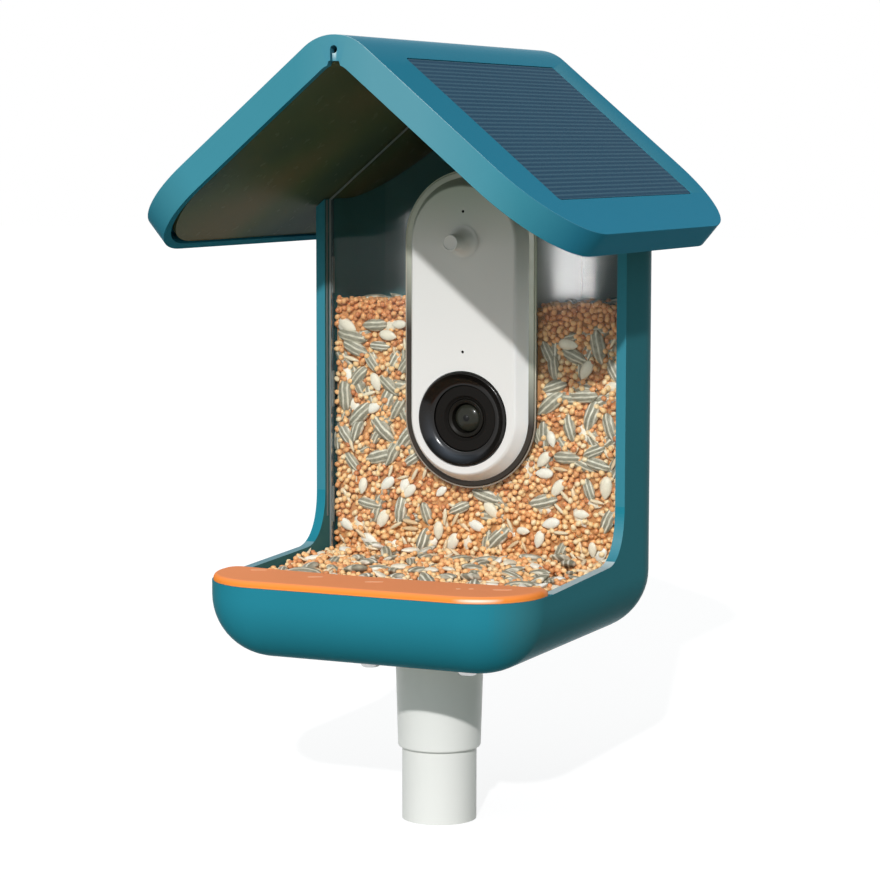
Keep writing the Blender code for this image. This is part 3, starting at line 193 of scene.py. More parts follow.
# Light
SUN_DIRECTION, SUN_STRENGTH, SUN_ANGLE = Vector((0.26, -0.85, 0.465)), 2.36, radians(1.3)
BACK_LIGHT_DIRECTION, BACK_LIGHT_STRENGTH, BACK_LIGHT_ANGLE = Vector((-0.45, 0.75, 0.5)), 0.7, radians(70.0)
FILL_TOWARDS, FILL_START, FILL_STRENGTHS = Vector((-0.1, -0.74, 0.66)), 0.1, (0.12, 0.93)
FILL_TINT, WHITE_LIGHT = (0.95, 1.0, 1.02), (1.0, 1.0, 1.0)
FLOOR_SIZE, FLOOR_COLOUR, FLOOR_GREY, FLOOR_GLOW = 6.0, (0.31, 0.35, 0.31), (0.24, 0.24, 0.24), 0.84
STRIP_MIRRORED = Vector((40.4, 27.0, 210.5)) * MM
STRIP_DISTANCE = 3060.0 * MM
STRIP_SIZE = mm(44.0, 130.0)
STRIP_POWER = 1.26

# Looks
# Of the teal tones here, the second is a painted shade for the housing's inner faces and sides, the third a
# painted sheen for its tray rim, front faces and right sweep.
TEAL_COLOUR, PAINTED_SHADE_TEAL, PAINTED_SHEEN_TEAL = (0.019, 0.208, 0.278), (0.055, 0.165, 0.172), (0.5, 0.6, 0.62)
# Painted light on the roof: the slope tones are a painted sky reflection, bluer lower down, then come the
# roof's painted sheen and the painted highlight along its front's upper edge.
SLOPE_SKY_COLOUR, SLOPE_LOW_SKY_COLOUR = (0.02, 0.2, 0.3), (0.028, 0.22, 0.34)
ROOF_SHEEN_TEAL, ROOF_HIGHLIGHT_EDGE = (0.62, 0.85, 0.9), (0.85, 1.0, 1.0)
# The perch's orange, a painted highlight for its front edge, and the edge's deeper tone, painted because the
# edge lacks the top's sky sheen.
ORANGE_COLOUR, PAINTED_GLINT_ORANGE, PAINTED_EDGE_ORANGE = (0.9, 0.325, 0.145), (1.0, 0.85, 0.72), (0.95, 0.27, 0.045)
# The white itself, the cover's painted shade under the roof, and its painted bounce light.
WHITE_COLOUR, SHADED_WHITE, BOUNCE_LIT_WHITE = (0.765, 0.755, 0.735), (0.49, 0.545, 0.455), (1.0, 1.0, 1.0)
BLACK, DISH_SHEEN = (0.007, 0.006, 0.005), (0.06, 0.07, 0.085)
LENS_TONE, LENS_GLINT, PUPIL_TONE = (0.021, 0.022, 0.016), (0.1, 0.1, 0.09), (0.001, 0.001, 0.001)
TEAL_SHINE, ROOF_SHINE = 0.001, 0.0005
# The lean and heights of the line across which the painted reflection on the gasket edge and pane lip turns
# lighter.
SHADOW_LEAN = 0.7
REFLECTION_SPAN = mm(158.0, 194.0)
# Heights over which the cover's painted shade and painted bounce light come in.
COVER_SHADE, COVER_LIFT = mm(206.0, 229.0), mm(188.0, 208.0)


# Mesh helpers
def add_object(name, data):
    obj = bpy.data.objects.new(name, data)
    bpy.context.scene.collection.objects.link(obj)
    return obj


def new_object(name, vertices, faces):
    mesh = bpy.data.meshes.new(name)
    mesh.from_pydata(vertices, [], faces)
    shape = bmesh.new()
    shape.from_mesh(mesh)
    bmesh.ops.remove_doubles(shape, verts=shape.verts, dist=0.001 * MM)
    bmesh.ops.recalc_face_normals(shape, faces=shape.faces)
    shape.to_mesh(mesh)
    shape.free()
    return add_object(name, mesh)


def modify(obj, kind, **settings):
    """Run one modifier and keep its result as the mesh."""
    modifier = obj.modifiers.new(kind.lower(), kind)
    for key, value in settings.items():
        setattr(modifier, key, value)
    bpy.context.view_layer.update()
    baked = bpy.data.meshes.new_from_object(obj.evaluated_get(bpy.context.evaluated_depsgraph_get()))
    obj.modifiers.clear()
    obj.data = baked


def cut(obj, *tools, operation="DIFFERENCE"):
    for tool in tools:
        modify(obj, "BOOLEAN", operation=operation, solver="EXACT", object=tool)
        bpy.data.objects.remove(tool)


def round_edges(obj, width, segments=2, angle=40.0):
    modify(obj, "BEVEL", width=width, segments=segments, limit_method="ANGLE", angle_limit=radians(angle))


def dress(obj, name, material, body, slot, *nodes, smooth=True):
    """Name a new piece, shade it, let it ride on its body and stand for its CAD nodes."""
    obj.name = name
    obj.data.name = name
    obj.data.materials.clear()
    obj.data.materials.append(material)
    for polygon in obj.data.polygons:
        polygon.material_index = 0
    if smooth:
        obj.data.shade_smooth()
        obj.data.set_sharp_from_angle(angle=SMOOTH_ANGLE)
        obj.modifiers.new("normals", "WEIGHTED_NORMAL").keep_sharp = True
    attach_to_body(obj, body)
    if nodes:
        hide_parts(*nodes)


def attach(mesh, name, values, kind="FLOAT", domain="POINT"):
    """Keep values in the mesh under a name."""
    field = "vector" if kind == "FLOAT_VECTOR" else "value"
    mesh.attributes.new(name, kind, domain).data.foreach_set(field, np.array(values, np.float32).ravel())


def mark(obj, name, weight, domain="POINT"):
    """Attach a weight of each vertex or face, from its place and normal."""
    if domain == "FACE":
        values = [weight(face.center, face.normal) for face in obj.data.polygons]
    else:
        values = [weight(vertex.co, vertex.normal) for vertex in obj.data.vertices]
    attach(obj.data, name, values, domain=domain)


def clamp(value):
    return min(max(value, 0.0), 1.0)


def loft(name, rings, cyclic=False):
    """A skin over rings of equal count, with end caps unless the last ring meets the first."""
    count = len(rings[0])
    faces = []
    for span in range(len(rings) if cyclic else len(rings) - 1):
        low, high = span * count, (span + 1) % len(rings) * count
        for step in range(count):
            after = (step + 1) % count
            faces.append((low + step, low + after, high + after, high + step))
    if not cyclic:
        last = (len(rings) - 1) * count
        faces += [tuple(range(count)), tuple(range(last, last + count))]
    return new_object(name, [point for ring in rings for point in ring], faces)


def prism(name, outline, low, high, axis="Z"):
    """A straight prism along the axis, over an outline in the other two coordinates."""
    order = {"X": (2, 0, 1), "Y": (0, 2, 1), "Z": (0, 1, 2)}[axis]
    return loft(name, [[tuple((a, b, c)[i] for i in order) for a, b in outline] for c in (low, high)])


def box(name, x_range, y_range, z_range):
    return prism(name, [(x_range[i], y_range[j]) for i, j in ((0, 0), (1, 0), (1, 1), (0, 1))], *z_range)


def arc(centre, radius, start, end, steps, height=None):
    """Points along an arc, or along part of an ellipse when its second half axis is given."""
    height = radius if height is None else height
    turns = [radians(start + (end - start) * step / steps) for step in range(steps + 1)]
    return [(centre[0] + radius * cos(turn), centre[1] + height * sin(turn)) for turn in turns]


def quarter(radius, steps):
    """A quarter round in steps: how far it has run, and how far it is still drawn in."""
    turns = [radians(90.0 * step / steps) for step in range(steps + 1)]
    return [(radius * (1.0 - cos(turn)), radius * (1.0 - sin(turn))) for turn in turns]


def bezier(corners, steps):
    """A curve from its first corner to its last, pulled by those between."""
    degree = len(corners) - 1
    points = []
    for step in range(steps + 1):
        t = step / steps
        weights = [comb(degree, i) * t ** i * (1 - t) ** (degree - i) for i in range(degree + 1)]
        points.append(tuple(sum(w * c[axis] for w, c in zip(weights, corners)) for axis in (0, 1)))
    return points


def turned(name, profile, centre=(0.0, 0.0, 0.0), axis="Y", steps=TURN_STEPS):
    """A closed profile of radius and height, turned about an axis through the centre."""
    turns = [2.0 * pi * step / steps for step in range(steps)]
    rings = []
    for radius, height in profile:
        ring = [(radius * cos(turn), radius * sin(turn), height) for turn in turns]
        if axis == "Y":
            ring = [(x, z, y) for x, y, z in ring]
        rings.append([tuple(c + p for c, p in zip(centre, point)) for point in ring])
    return loft(name, rings, cyclic=True)


def rod(radius, low, high, centre, axis, steps=24):
    across = centre[1] if axis == "Z" else centre[2]
    outline = arc((centre[0], across), radius, 0.0, 360.0 - 360.0 / steps, steps - 1)
    return prism("rod", outline, low, high, axis)


# Forms shared with the CAD
def roof_point(along, y, depth):
    """A point of the bent roof, by its distance from the ridge line and its depth in the slab."""
    distance = abs(along)
    angle = min(distance / RIDGE_RADIUS, ROOF_PITCH)
    straight = max(distance - RIDGE_RADIUS * ROOF_PITCH, 0.0)
    x = (RIDGE_RADIUS - depth) * sin(angle) + straight * cos(ROOF_PITCH)
    z = RIDGE_Z - RIDGE_RADIUS / cos(ROOF_PITCH)
    z += (RIDGE_RADIUS - depth) * cos(angle) - straight * sin(ROOF_PITCH)
    return (x if along >= 0.0 else -x, y, z)


def roof_stations(start, end, corner, corner_steps):
    """Distances from the ridge, each with how far the slab's ends are drawn in there."""
    ends, bend = quarter(corner, corner_steps), RIDGE_RADIUS * ROOF_PITCH
    stations = [(start + run, drawn) for run, drawn in ends]
    if start < -bend and end > bend:
        stations += [(bend * (2.0 * step / RIDGE_STEPS - 1.0), 0.0) for step in range(RIDGE_STEPS + 1)]
    return stations + [(end - run, drawn) for run, drawn in reversed(ends)]


def roof_slab(name, start, end, front, rear, top, bottom, corner, corner_steps):
    rings = []
    for along, drawn in roof_stations(start, end, corner, corner_steps):
        edge = ((front + drawn, top), (rear - drawn, top), (rear - drawn, bottom), (front + drawn, bottom))
        rings.append([roof_point(along, y, depth) for y, depth in edge])
    return loft(name, rings)


def above_liner(gap):
    """Everything from a gap below the roof's liner upwards."""
    reach, top = mm(130.0, -60.0)
    return roof_slab("gable", -reach, reach, -reach, reach, top, LINER_BOTTOM + gap, 1.0 * MM, 1)


def inset_roof_slab(name, inset, top, bottom, corner=ROOF_CORNER):
    return roof_slab(name, inset - ROOF_HALF_LENGTH, ROOF_HALF_LENGTH - inset, ROOF_FRONT + inset,
                     ROOF_REAR - inset, top, bottom, corner - inset, ROOF_CORNER_STEPS)


def panel_slab(side, grow, top, bottom):
    start, end = PANEL_INNER - grow, PANEL_OUTER + grow
    if side < 0:
        start, end = -end, -start
    return roof_slab("panel", start, end, PANEL_FRONT - grow, PANEL_REAR + grow, top, bottom, PANEL_CORNER, 5)


def plan_outline(inset):
    """The housing's plan, from its front right corner round."""
    half, front, rear = HOUSING_HALF - inset, HOUSING_FRONT + inset, HOUSING_REAR - inset
    small, large = FRONT_CORNER - inset, REAR_CORNER - inset
    near, far = (half - small, front + small, small), (half - large, rear - large, large)
    points = []
    for side, (x, y, radius), start in ((1, near, -90.0), (1, far, 0.0), (-1, far, 90.0), (-1, near, 180.0)):
        points += arc((side * x, y), radius, start, start + 90.0, CORNER_STEPS)
    return points


def housing_stack(name, inset, top):
    """The housing's block with its rounded bottom, drawn in by the inset."""
    rings = [[(x, y, HOUSING_BOTTOM + inset + run) for x, y in plan_outline(inset + drawn)]
             for run, drawn in quarter(BOTTOM_FILLET - inset, FILLET_STEPS)]
    rings.append([(x, y, top) for x, y in plan_outline(inset)])
    return loft(name, rings)


def perch_outline(side_grow, back_grow):
    radius = FRONT_CORNER - PERCH_INSET + side_grow
    centre_x, centre_y = HOUSING_HALF - FRONT_CORNER, HOUSING_FRONT + FRONT_CORNER
    back_half = centre_x + radius - PERCH_BACK_CORNER
    corner_y = PERCH_BACK + PERCH_BACK_RISE + back_grow - PERCH_BACK_CORNER
    points = arc((-centre_x, centre_y), radius, 180.0, 270.0, CORNER_STEPS)
    points += arc((centre_x, centre_y), radius, 270.0, 360.0, CORNER_STEPS)
    points += arc((back_half, corner_y), PERCH_BACK_CORNER, 0.0, 90.0, 8)
    for step in range(1, PERCH_BACK_STEPS):
        share = 1.0 - 2.0 * step / PERCH_BACK_STEPS
        points.append((back_half * share, PERCH_BACK + back_grow + PERCH_BACK_RISE * share ** 2))
    return points + arc((-back_half, corner_y), PERCH_BACK_CORNER, 90.0, 180.0, 8)


def pill_loft(name, profile, cyclic=False):
    """A loft of pill outlines over a profile of y and radius."""
    rings = []
    for y, radius in profile:
        outline = arc((0.0, PEG_Z), radius, 0.0, 180.0, PILL_STEPS)
        outline += arc((0.0, LENS_Z), radius, 180.0, 360.0, PILL_STEPS)
        rings.append([(x, y, z) for x, z in outline])
    return loft(name, rings, cyclic)


def sweep_outline():
    """What is cut away before the uprights and above the tray's rim, seen from the side."""
    front, high = 2.0 * HOUSING_FRONT, 2.0 * HOUSING_TOP
    seat = PERCH_BOTTOM + GAP
    rim_z = SWEEP_FOOT_Z + RIM_SLOPE * (PERCH_BACK - SWEEP_FOOT_Y)
    sweep = ((UPRIGHT_FRONT, SWEEP_TOP), (UPRIGHT_FRONT, SWEEP_PULL_TOP),
             (SWEEP_PULL_Y, SWEEP_FOOT_Z), (SWEEP_FOOT_Y, SWEEP_FOOT_Z))
    return [(PERCH_BACK, rim_z), (PERCH_BACK - GAP, seat), (front, seat), (front, high),
            (UPRIGHT_FRONT, high), *bezier(sweep, SWEEP_STEPS)]


# Materials
class Graph:
    """A node tree with short calls for the nodes used here."""

    def __init__(self, name, kind="materials"):
        self.owner = getattr(bpy.data, kind).new(name)
        self.owner.use_nodes = True
        self.tree = self.owner.node_tree
        self.shader = self.tree.nodes.get("Principled BSDF")
        self.place = self.node("ShaderNodeTexCoord", "Object")

    def node(self, kind, output, inputs=None, **settings):
        """A new node with its settings and inputs; returns one output."""
        made = self.tree.nodes.new(kind)
        for key, value in settings.items():
            setattr(made, key, value)
        for key, value in (inputs or {}).items():
            self.feed(made.inputs[key], value)
        return made.outputs[output]

    def feed(self, target, source):
        """Give an input a link, a colour or a plain value."""
        if isinstance(source, bpy.types.NodeSocket):
            self.tree.links.new(source, target)
        else:
            target.default_value = (*source, 1.0) if isinstance(source, tuple) else source

    def axes(self, vector=None):
        split = self.node("ShaderNodeSeparateXYZ", "X", {"Vector": vector or self.place}).node
        return [split.outputs[axis] for axis in "XYZ"]

    def attribute(self, name, output="Fac"):
        return self.node("ShaderNodeAttribute", output, attribute_name=name)

    def noise(self, scale, detail=2.0):
        inputs = {"Vector": self.place, "Scale": scale, "Detail": detail}
        return self.node("ShaderNodeTexNoise", "Fac", inputs)

    def spread(self, source, low, high, start=0.3, end=0.7):
        """A value that runs from low to high as the source goes from start to end."""
        return self.node("ShaderNodeMapRange", "Result", {
            "Value": source, "From Min": start, "From Max": end, "To Min": low, "To Max": high})

    def mix(self, factor, first, second, blend="MIX"):
        return self.node("ShaderNodeMix", "Result", {"Factor": factor, "A": first, "B": second},
                         data_type="RGBA", blend_type=blend)

    def mottle(self, tone, scale, dark, detail=3.0):
        """The tone, uneven between a darker factor and itself."""
        return self.mix(1.0, tone, self.mix(self.noise(scale, detail), dark, (1.0, 1.0, 1.0)), "MULTIPLY")

    def flow(self, colour, vary):
        """Faint flow marks in a moulded colour."""
        low, high = (tuple(min(c * factor, 1.0) for c in colour) for factor in (1.0 - vary, 1.0 + vary))
        return self.mix(self.noise(35.0, 3.0), low, high)

    def ramp(self, source, stops):
        made = self.node("ShaderNodeValToRGB", "Color", {"Fac": source})
        elements = made.node.color_ramp.elements
        while len(elements) < len(stops):
            elements.new(0.5)
        for element, (position, colour) in zip(elements, stops):
            element.position = position
            element.color = (*colour, 1.0)
        return made

    def math(self, operation, first, second=0.0):
        return self.node("ShaderNodeMath", "Value", {0: first, 1: second}, operation=operation)

    def times(self, first, second):
        return self.math("MULTIPLY", first, second)

    def bump(self, source, strength, distance):
        normal = self.node("ShaderNodeBump", "Normal", {
            "Strength": strength, "Distance": distance, "Height": source})
        self.feed(self.shader.inputs["Normal"], normal)

    def seen(self):
        """One for camera, glossy and transmission rays, else zero."""
        rays = self.node("ShaderNodeLightPath", "Is Camera Ray").node.outputs
        either = self.math("MAXIMUM", rays["Is Camera Ray"], rays["Is Glossy Ray"])
        return self.math("MAXIMUM", either, rays["Is Transmission Ray"])

    def surface(self, kind, inputs):
        """Send a mix or sum of shaders to the output; returns the material."""
        self.feed(self.tree.nodes["Material Output"].inputs["Surface"], self.node(kind, "Shader", inputs))
        return self.owner

    def finish(self, tone, gloss, speckle=(220.0, 3.0), relief=0.0, grain=900.0, shine=0.5, **settings):
        """Set the shader's colour, uneven roughness, fine grain and plain values; returns the material."""
        self.feed(self.shader.inputs["Base Color"], tone)
        self.feed(self.shader.inputs["Roughness"], self.spread(self.noise(*speckle), *gloss))
        if relief:
            self.bump(self.noise(grain, 2.0), 0.35, relief * MM)
        self.shader.inputs["Specular IOR Level"].default_value = shine
        for key, value in settings.items():
            self.shader.inputs[key.replace("_", " ")].default_value = value
        return self.owner


def moulded(name, colour, roughness, vary=0.06, rough_vary=0.05, relief=0.02, **settings):
    """Moulded plastic: faint flow marks in its colour, a fine grain and an uneven gloss."""
    graph = Graph(name)
    gloss = (roughness - rough_vary, roughness + rough_vary)
    return graph.finish(graph.flow(colour, vary), gloss, relief=relief, **settings)


def pale_marked(name, colour, roughness, pale, second, **settings):
    """Moulded plastic with a second tone and paler parts where the mesh is marked so: the paler parts are
    painted highlights and reflections, and the second tone is painted light too, except the lens's dark
    pupil.
    """
    graph = Graph(name)
    tone = graph.mix(graph.attribute("second"), graph.flow(colour, 0.02), second)
    tone = graph.mix(graph.attribute("pale"), tone, pale)
    return graph.finish(tone, (roughness - 0.02, roughness + 0.02), relief=0.002, **settings)


def roof_teal_material():
    """The roof's plastic with painted light: a painted sky reflection makes the slopes bluer and the ridge
    paler, and a painted sheen and highlight line lighten the front rim and its upper edge.
    """
    graph = Graph("teal_roof")
    x = graph.axes()[0]
    front = graph.attribute("front")
    reach = graph.spread(x, 1.0, 0.15, *mm(30.0, 66.0))
    reach = graph.times(graph.spread(x, 0.2, 1.0, *mm(-14.0, 14.0)), reach)
    # Painted sky sheen along the ridge, and painted sky reflection on the slopes, bluer lower down.
    ridge = graph.spread(graph.math("ABSOLUTE", x), 0.06, 0.0, *mm(6.0, 18.0))
    slope = graph.mix(graph.spread(x, 0.0, 1.0, *mm(20.0, 80.0)), SLOPE_SKY_COLOUR, SLOPE_LOW_SKY_COLOUR)
    tone = graph.mix(front, graph.mix(ridge, slope, ROOF_SHEEN_TEAL), TEAL_COLOUR)
    # Painted sheen on the front rim, strongest just right of the ridge.
    rim_sheen = graph.times(front, graph.math("ADD", graph.times(reach, 0.1), 0.032))
    tone = graph.mix(rim_sheen, tone, ROOF_SHEEN_TEAL)
    # Painted highlight line along the front's upper edge.
    tone = graph.mix(graph.times(graph.attribute("edge"), reach), tone, ROOF_HIGHLIGHT_EDGE)
    return graph.finish(graph.mottle(tone, 35.0, (0.97, 0.97, 0.97)), (0.18, 0.22), relief=0.002,
                        shine=ROOF_SHINE)


def liner_material():
    """The roof's glossy dark underside, uneven in tone: its own dark green, mottled with painted olive and
    brown reflection of green surroundings.
    """
    graph = Graph("liner_gloss")
    tone = graph.ramp(graph.noise(13.0, 1.0), ((0.34, (0.035, 0.075, 0.062)), (0.5, (0.085, 0.115, 0.06)),
                                              (0.66, (0.14, 0.13, 0.07))))
    return graph.finish(tone, (0.22, 0.28), relief=0.002, shine=0.006)


def painted_reflection_by_height(name, low, high, roughness, shine):
    """An edge whose tone changes with its height, across a line that leans as the roof's shadow does: a
    painted reflection, lighter above the line where the roof shades it.
    """
    graph = Graph(name)
    x, _, z = graph.axes()
    share = graph.spread(graph.math("ADD", z, graph.times(x, SHADOW_LEAN)), 0.0, 1.0, *REFLECTION_SPAN)
    tone = graph.mottle(graph.mix(share, low, high), 60.0, (0.9, 0.9, 0.88))
    return graph.finish(tone, (roughness - 0.03, roughness + 0.03), shine=shine)


def cover_material():
    """The camera's white cover: painted shade under the roof, and painted bounce light at its lower side
    where the seed lights it.
    """
    graph = Graph("cover_white")
    z = graph.axes()[2]
    lifted = graph.times(graph.attribute("pale"), graph.spread(z, 1.0, 0.0, *COVER_LIFT))
    tone = graph.mix(graph.spread(z, 0.0, 1.0, *COVER_SHADE), graph.flow(WHITE_COLOUR, 0.005), SHADED_WHITE)
    return graph.finish(graph.mix(lifted, tone, BOUNCE_LIT_WHITE), (0.4, 0.44), relief=0.002, shine=0.2)


def clear_material():
    """Clear moulded plastic that lets the lamps' light through to the seed."""
    graph = Graph("clear_pane")
    tint = graph.mix(graph.noise(20.0), (0.975, 0.985, 0.98), (0.995, 1.0, 0.995))
    graph.finish(tint, (0.034, 0.048), (60.0, 3.0), Transmission_Weight=1.0, IOR=1.2)
    rays = graph.node("ShaderNodeLightPath", "Is Shadow Ray").node.outputs
    soft = graph.math("MAXIMUM", rays["Is Shadow Ray"], rays["Is Diffuse Ray"])
    passing = graph.node("ShaderNodeBsdfTransparent", "BSDF", {"Color": (0.97, 0.98, 0.975)})
    return graph.surface("ShaderNodeMixShader", {0: soft, 1: graph.shader.outputs["BSDF"], 2: passing})


def solar_material():
    """Dark blue cells under glass with fine conductors that run parallel to the ridge."""
    graph = Graph("solar_cells")
    across = graph.times(graph.math("ABSOLUTE", graph.axes()[0]), 1.0 / cos(ROOF_PITCH))
    wave = graph.math("FRACT", graph.times(across, 1.0 / PANEL_LINE_PITCH))
    line = graph.spread(graph.math("ABSOLUTE", graph.math("SUBTRACT", wave, 0.5)), 1.0, 0.0, 0.12, 0.26)
    cells = graph.mix(graph.noise(25.0, 2.0), (0.02, 0.066, 0.115), (0.027, 0.08, 0.135))
    graph.bump(line, 0.3, PANEL_LINE_HEIGHT)
    return graph.finish(graph.mix(line, cells, (0.052, 0.125, 0.18)), (0.24, 0.3), (180.0, 2.0),
                        shine=0.0014)


def steel_material():
    graph = Graph("brushed_steel")
    tone = graph.mix(graph.noise(400.0, 3.0), (0.5, 0.5, 0.5), (0.68, 0.68, 0.67))
    return graph.finish(tone, (0.22, 0.4), (700.0, 2.0), Metallic=1.0)


def millet_material():
    """Small round seed in tones from straw to rust, one tone per grain."""
    graph = Graph("millet")
    tone = graph.ramp(graph.attribute("tint"), (
        (0.0, (0.6, 0.21, 0.075)), (0.15, (0.84, 0.38, 0.15)), (0.5, (1.0, 0.57, 0.25)),
        (0.82, (1.0, 0.7, 0.36)), (1.0, (1.0, 0.83, 0.56))))
    return graph.finish(graph.mottle(tone, 1800.0, (0.86, 0.84, 0.8), 2.0), (0.4, 0.6), (900.0, 2.0))


def striped_material():
    """Sunflower hulls: pale and dark stripes along the seed."""
    graph = Graph("sunflower_hull")
    across = graph.axes(graph.attribute("local", "Vector"))[1]
    tint = graph.attribute("tint")
    shift = graph.math("ADD", graph.times(graph.noise(260.0), 0.5), graph.times(tint, 3.7))
    bands = graph.math("FRACT", graph.math("ADD", graph.times(across, 1.7), shift))
    wave = graph.math("ABSOLUTE", graph.math("SUBTRACT", bands, 0.5))
    margin = graph.spread(graph.math("ABSOLUTE", across), 0.0, 0.9, 0.6, 0.92)
    stripe = graph.math("MAXIMUM", graph.spread(wave, 0.0, 1.0, 0.24, 0.42), margin)
    stripe = graph.times(stripe, graph.spread(graph.noise(420.0), 0.45, 1.0))
    dark = graph.mix(graph.noise(700.0, 3.0), (0.1, 0.095, 0.065), (0.42, 0.39, 0.29))
    pale = graph.mix(tint, (0.72, 0.67, 0.53), (0.97, 0.93, 0.8))
    return graph.finish(graph.mix(stripe, dark, pale), (0.45, 0.65), (600.0, 2.0))


def pale_seed_material(name, first, second):
    graph = Graph(name)
    tone = graph.mix(graph.attribute("tint"), first, second)
    return graph.finish(graph.mottle(tone, 700.0, (0.82, 0.8, 0.76)), (0.42, 0.6), (500.0, 2.0))


# The housing's teal, with a painted sheen and a painted shade where its mesh is marked.
TEAL = pale_marked("teal_shell", TEAL_COLOUR, 0.18, PAINTED_SHEEN_TEAL, PAINTED_SHADE_TEAL, shine=TEAL_SHINE)
BRACKET = moulded("teal_bracket", TEAL_COLOUR, 0.18, 0.02, 0.015, 0.002, shine=TEAL_SHINE)
ROOF_TEAL = roof_teal_material()
LINER = liner_material()
# The perch's orange, with a painted highlight and a painted edge tone where its mesh is marked.
ORANGE = pale_marked("orange_soft", ORANGE_COLOUR, 0.25, PAINTED_GLINT_ORANGE, PAINTED_EDGE_ORANGE, shine=0.00003)
MARKS = moulded("perch_marks", (0.9, 0.5, 0.3), 0.3, 0.05, shine=0.001)
WHITE = moulded("white_matt", WHITE_COLOUR, 0.42, 0.01, shine=0.2)
COVER_WHITE = cover_material()
PIPE = moulded("white_pipe", (0.79, 0.78, 0.75), 0.35, 0.015, shine=0.3)
CASE = moulded("case_white", (0.78, 0.78, 0.75), 0.4, 0.02, shine=0.1)
RUBBER = moulded("gasket_black", (0.014, 0.012, 0.01), 0.16, shine=0.4)
# Painted reflection on the gasket's edge and the pane's lip, lighter where the roof shades them.
BAND = painted_reflection_by_height("gasket_edge", (0.03, 0.023, 0.017), (0.6, 0.62, 0.52), 0.2, 0.2)
LIP = painted_reflection_by_height("pane_lip", (0.33, 0.28, 0.23), (0.62, 0.64, 0.53), 0.3, 0.1)
DARK = moulded("dark_part", (0.012, 0.011, 0.01), 0.45, 0.06, 0.03, 0.004, shine=0.03)
GUIDE = moulded("guide_slate", (0.07, 0.115, 0.135), 0.4, shine=0.02)
EDGE = moulded("pane_edge", (0.2, 0.23, 0.23), 0.35, 0.15, shine=0.1)
GLOSS = pale_marked("gloss_black", BLACK, 0.19, DISH_SHEEN, BLACK, shine=0.3)
TUBE = moulded("tube_black", (0.012, 0.011, 0.009), 0.42, 0.06, 0.02, 0.001, shine=0.08)
BOARD = moulded("board_green", (0.03, 0.16, 0.07), 0.45)
SLEEVE = moulded("cell_sleeve", (0.05, 0.12, 0.3), 0.35)
LIGHT = moulded("light_lens", (0.8, 0.85, 0.8), 0.2)
GLASS = pale_marked("lens_glass", LENS_TONE, 0.24, LENS_GLINT, PUPIL_TONE,
                    shine=0.15, Coat_Weight=0.1, Coat_Roughness=0.06)
CLEAR = clear_material()
SOLAR = solar_material()
STEEL = steel_material()
MILLET = millet_material()
HULL = striped_material()
CREAM = pale_seed_material("cream_seed", (0.9, 0.82, 0.66), (0.95, 0.93, 0.86))
STRAW = pale_seed_material("straw_husk", (0.78, 0.55, 0.32), (0.92, 0.82, 0.62))
BED = moulded("seed_bed", (0.55, 0.27, 0.11), 0.8, 0.3, relief=0.3, grain=600.0, shine=0.1)


# Pieces on the feeder body
def window_guides():
    """Rails and lugs on the side walls that hold the pane, and the bead before its edge."""
    near, far = WINDOW_BACK + GAP, WINDOW_BACK + GAP + RAIL_DEPTH
    rail = (GUIDE_REACH, (near, far), (RAIL_BOTTOM, RAIL_TOP), RAIL_EDGE, GUIDE, "dark_plastic")
    bead = (BEAD_WIDTH, BEAD_Y, (BEAD_BOTTOM, HOUSING_TOP), BEAD_EDGE, EDGE, "clear_plastic")
    bars = {"guide_rail_{}": rail, "pane_bead_{}": bead}
    near, far = near - LUG_SPARE, far + LUG_SPARE
    for number, middle in enumerate(LUG_MIDDLES, start=1):
        z_range = (middle - LUG_HEIGHT / 2, middle + LUG_HEIGHT / 2)
        bars["guide_lug_{}_%d" % number] = (LUG_REACH, (near, far), z_range, LUG_EDGE, EDGE, "clear_plastic")
    inner = HOUSING_HALF - WALL
    for side, word in ((-1.0, "left"), (1.0, "right")):
        for name, (reach, y_range, z_range, edge, material, slot) in bars.items():
            x_range = sorted((side * (inner - reach), side * (inner - GUIDE_SET_OFF)))
            bar = box("bar", x_range, y_range, z_range)
            cut(bar, above_liner(WINDOW_ROOF_GAP))
            round_edges(bar, edge)
            dress(bar, name.format(word), material, "feeder", slot)


def housing_painted_sheen(place, normal):
    """A painted sheen: the tray's rim is paler on top, the uprights' front faces a little paler, and the
    right-hand sweep a little paler part way up.
    """
    if normal.z > 0.9 and abs(place.z - SWEEP_FOOT_Z) < 3.0 * MM and abs(place.x) > HOUSING_HALF - WALL:
        return 0.85 if place.x > 0.0 else 0.3
    if normal.y < -0.6 and place.z > SWEEP_TOP:
        return 0.05
    foot = max(0.0, 1.0 - abs(place.z - SWEEP_PULL_TOP) / (10.0 * MM))
    return 0.15 * foot if normal.y < -0.2 and place.y > SWEEP_FOOT_Y and place.x > 0.0 else 0.0


def housing_painted_shade(place, normal):
    """Painted shade: the walls' inner faces, and less so their sides, have a duller tone than the fronts."""
    away = place.y - (HOUSING_FRONT + HOUSING_REAR) / 2
    inward = -(normal.x * place.x + normal.y * away)
    if inward > 0.5 * sqrt(place.x ** 2 + away ** 2) and abs(normal.z) < 0.4:
        return 1.0
    return 0.5 * clamp((abs(normal.x) - 0.5) / 0.4)


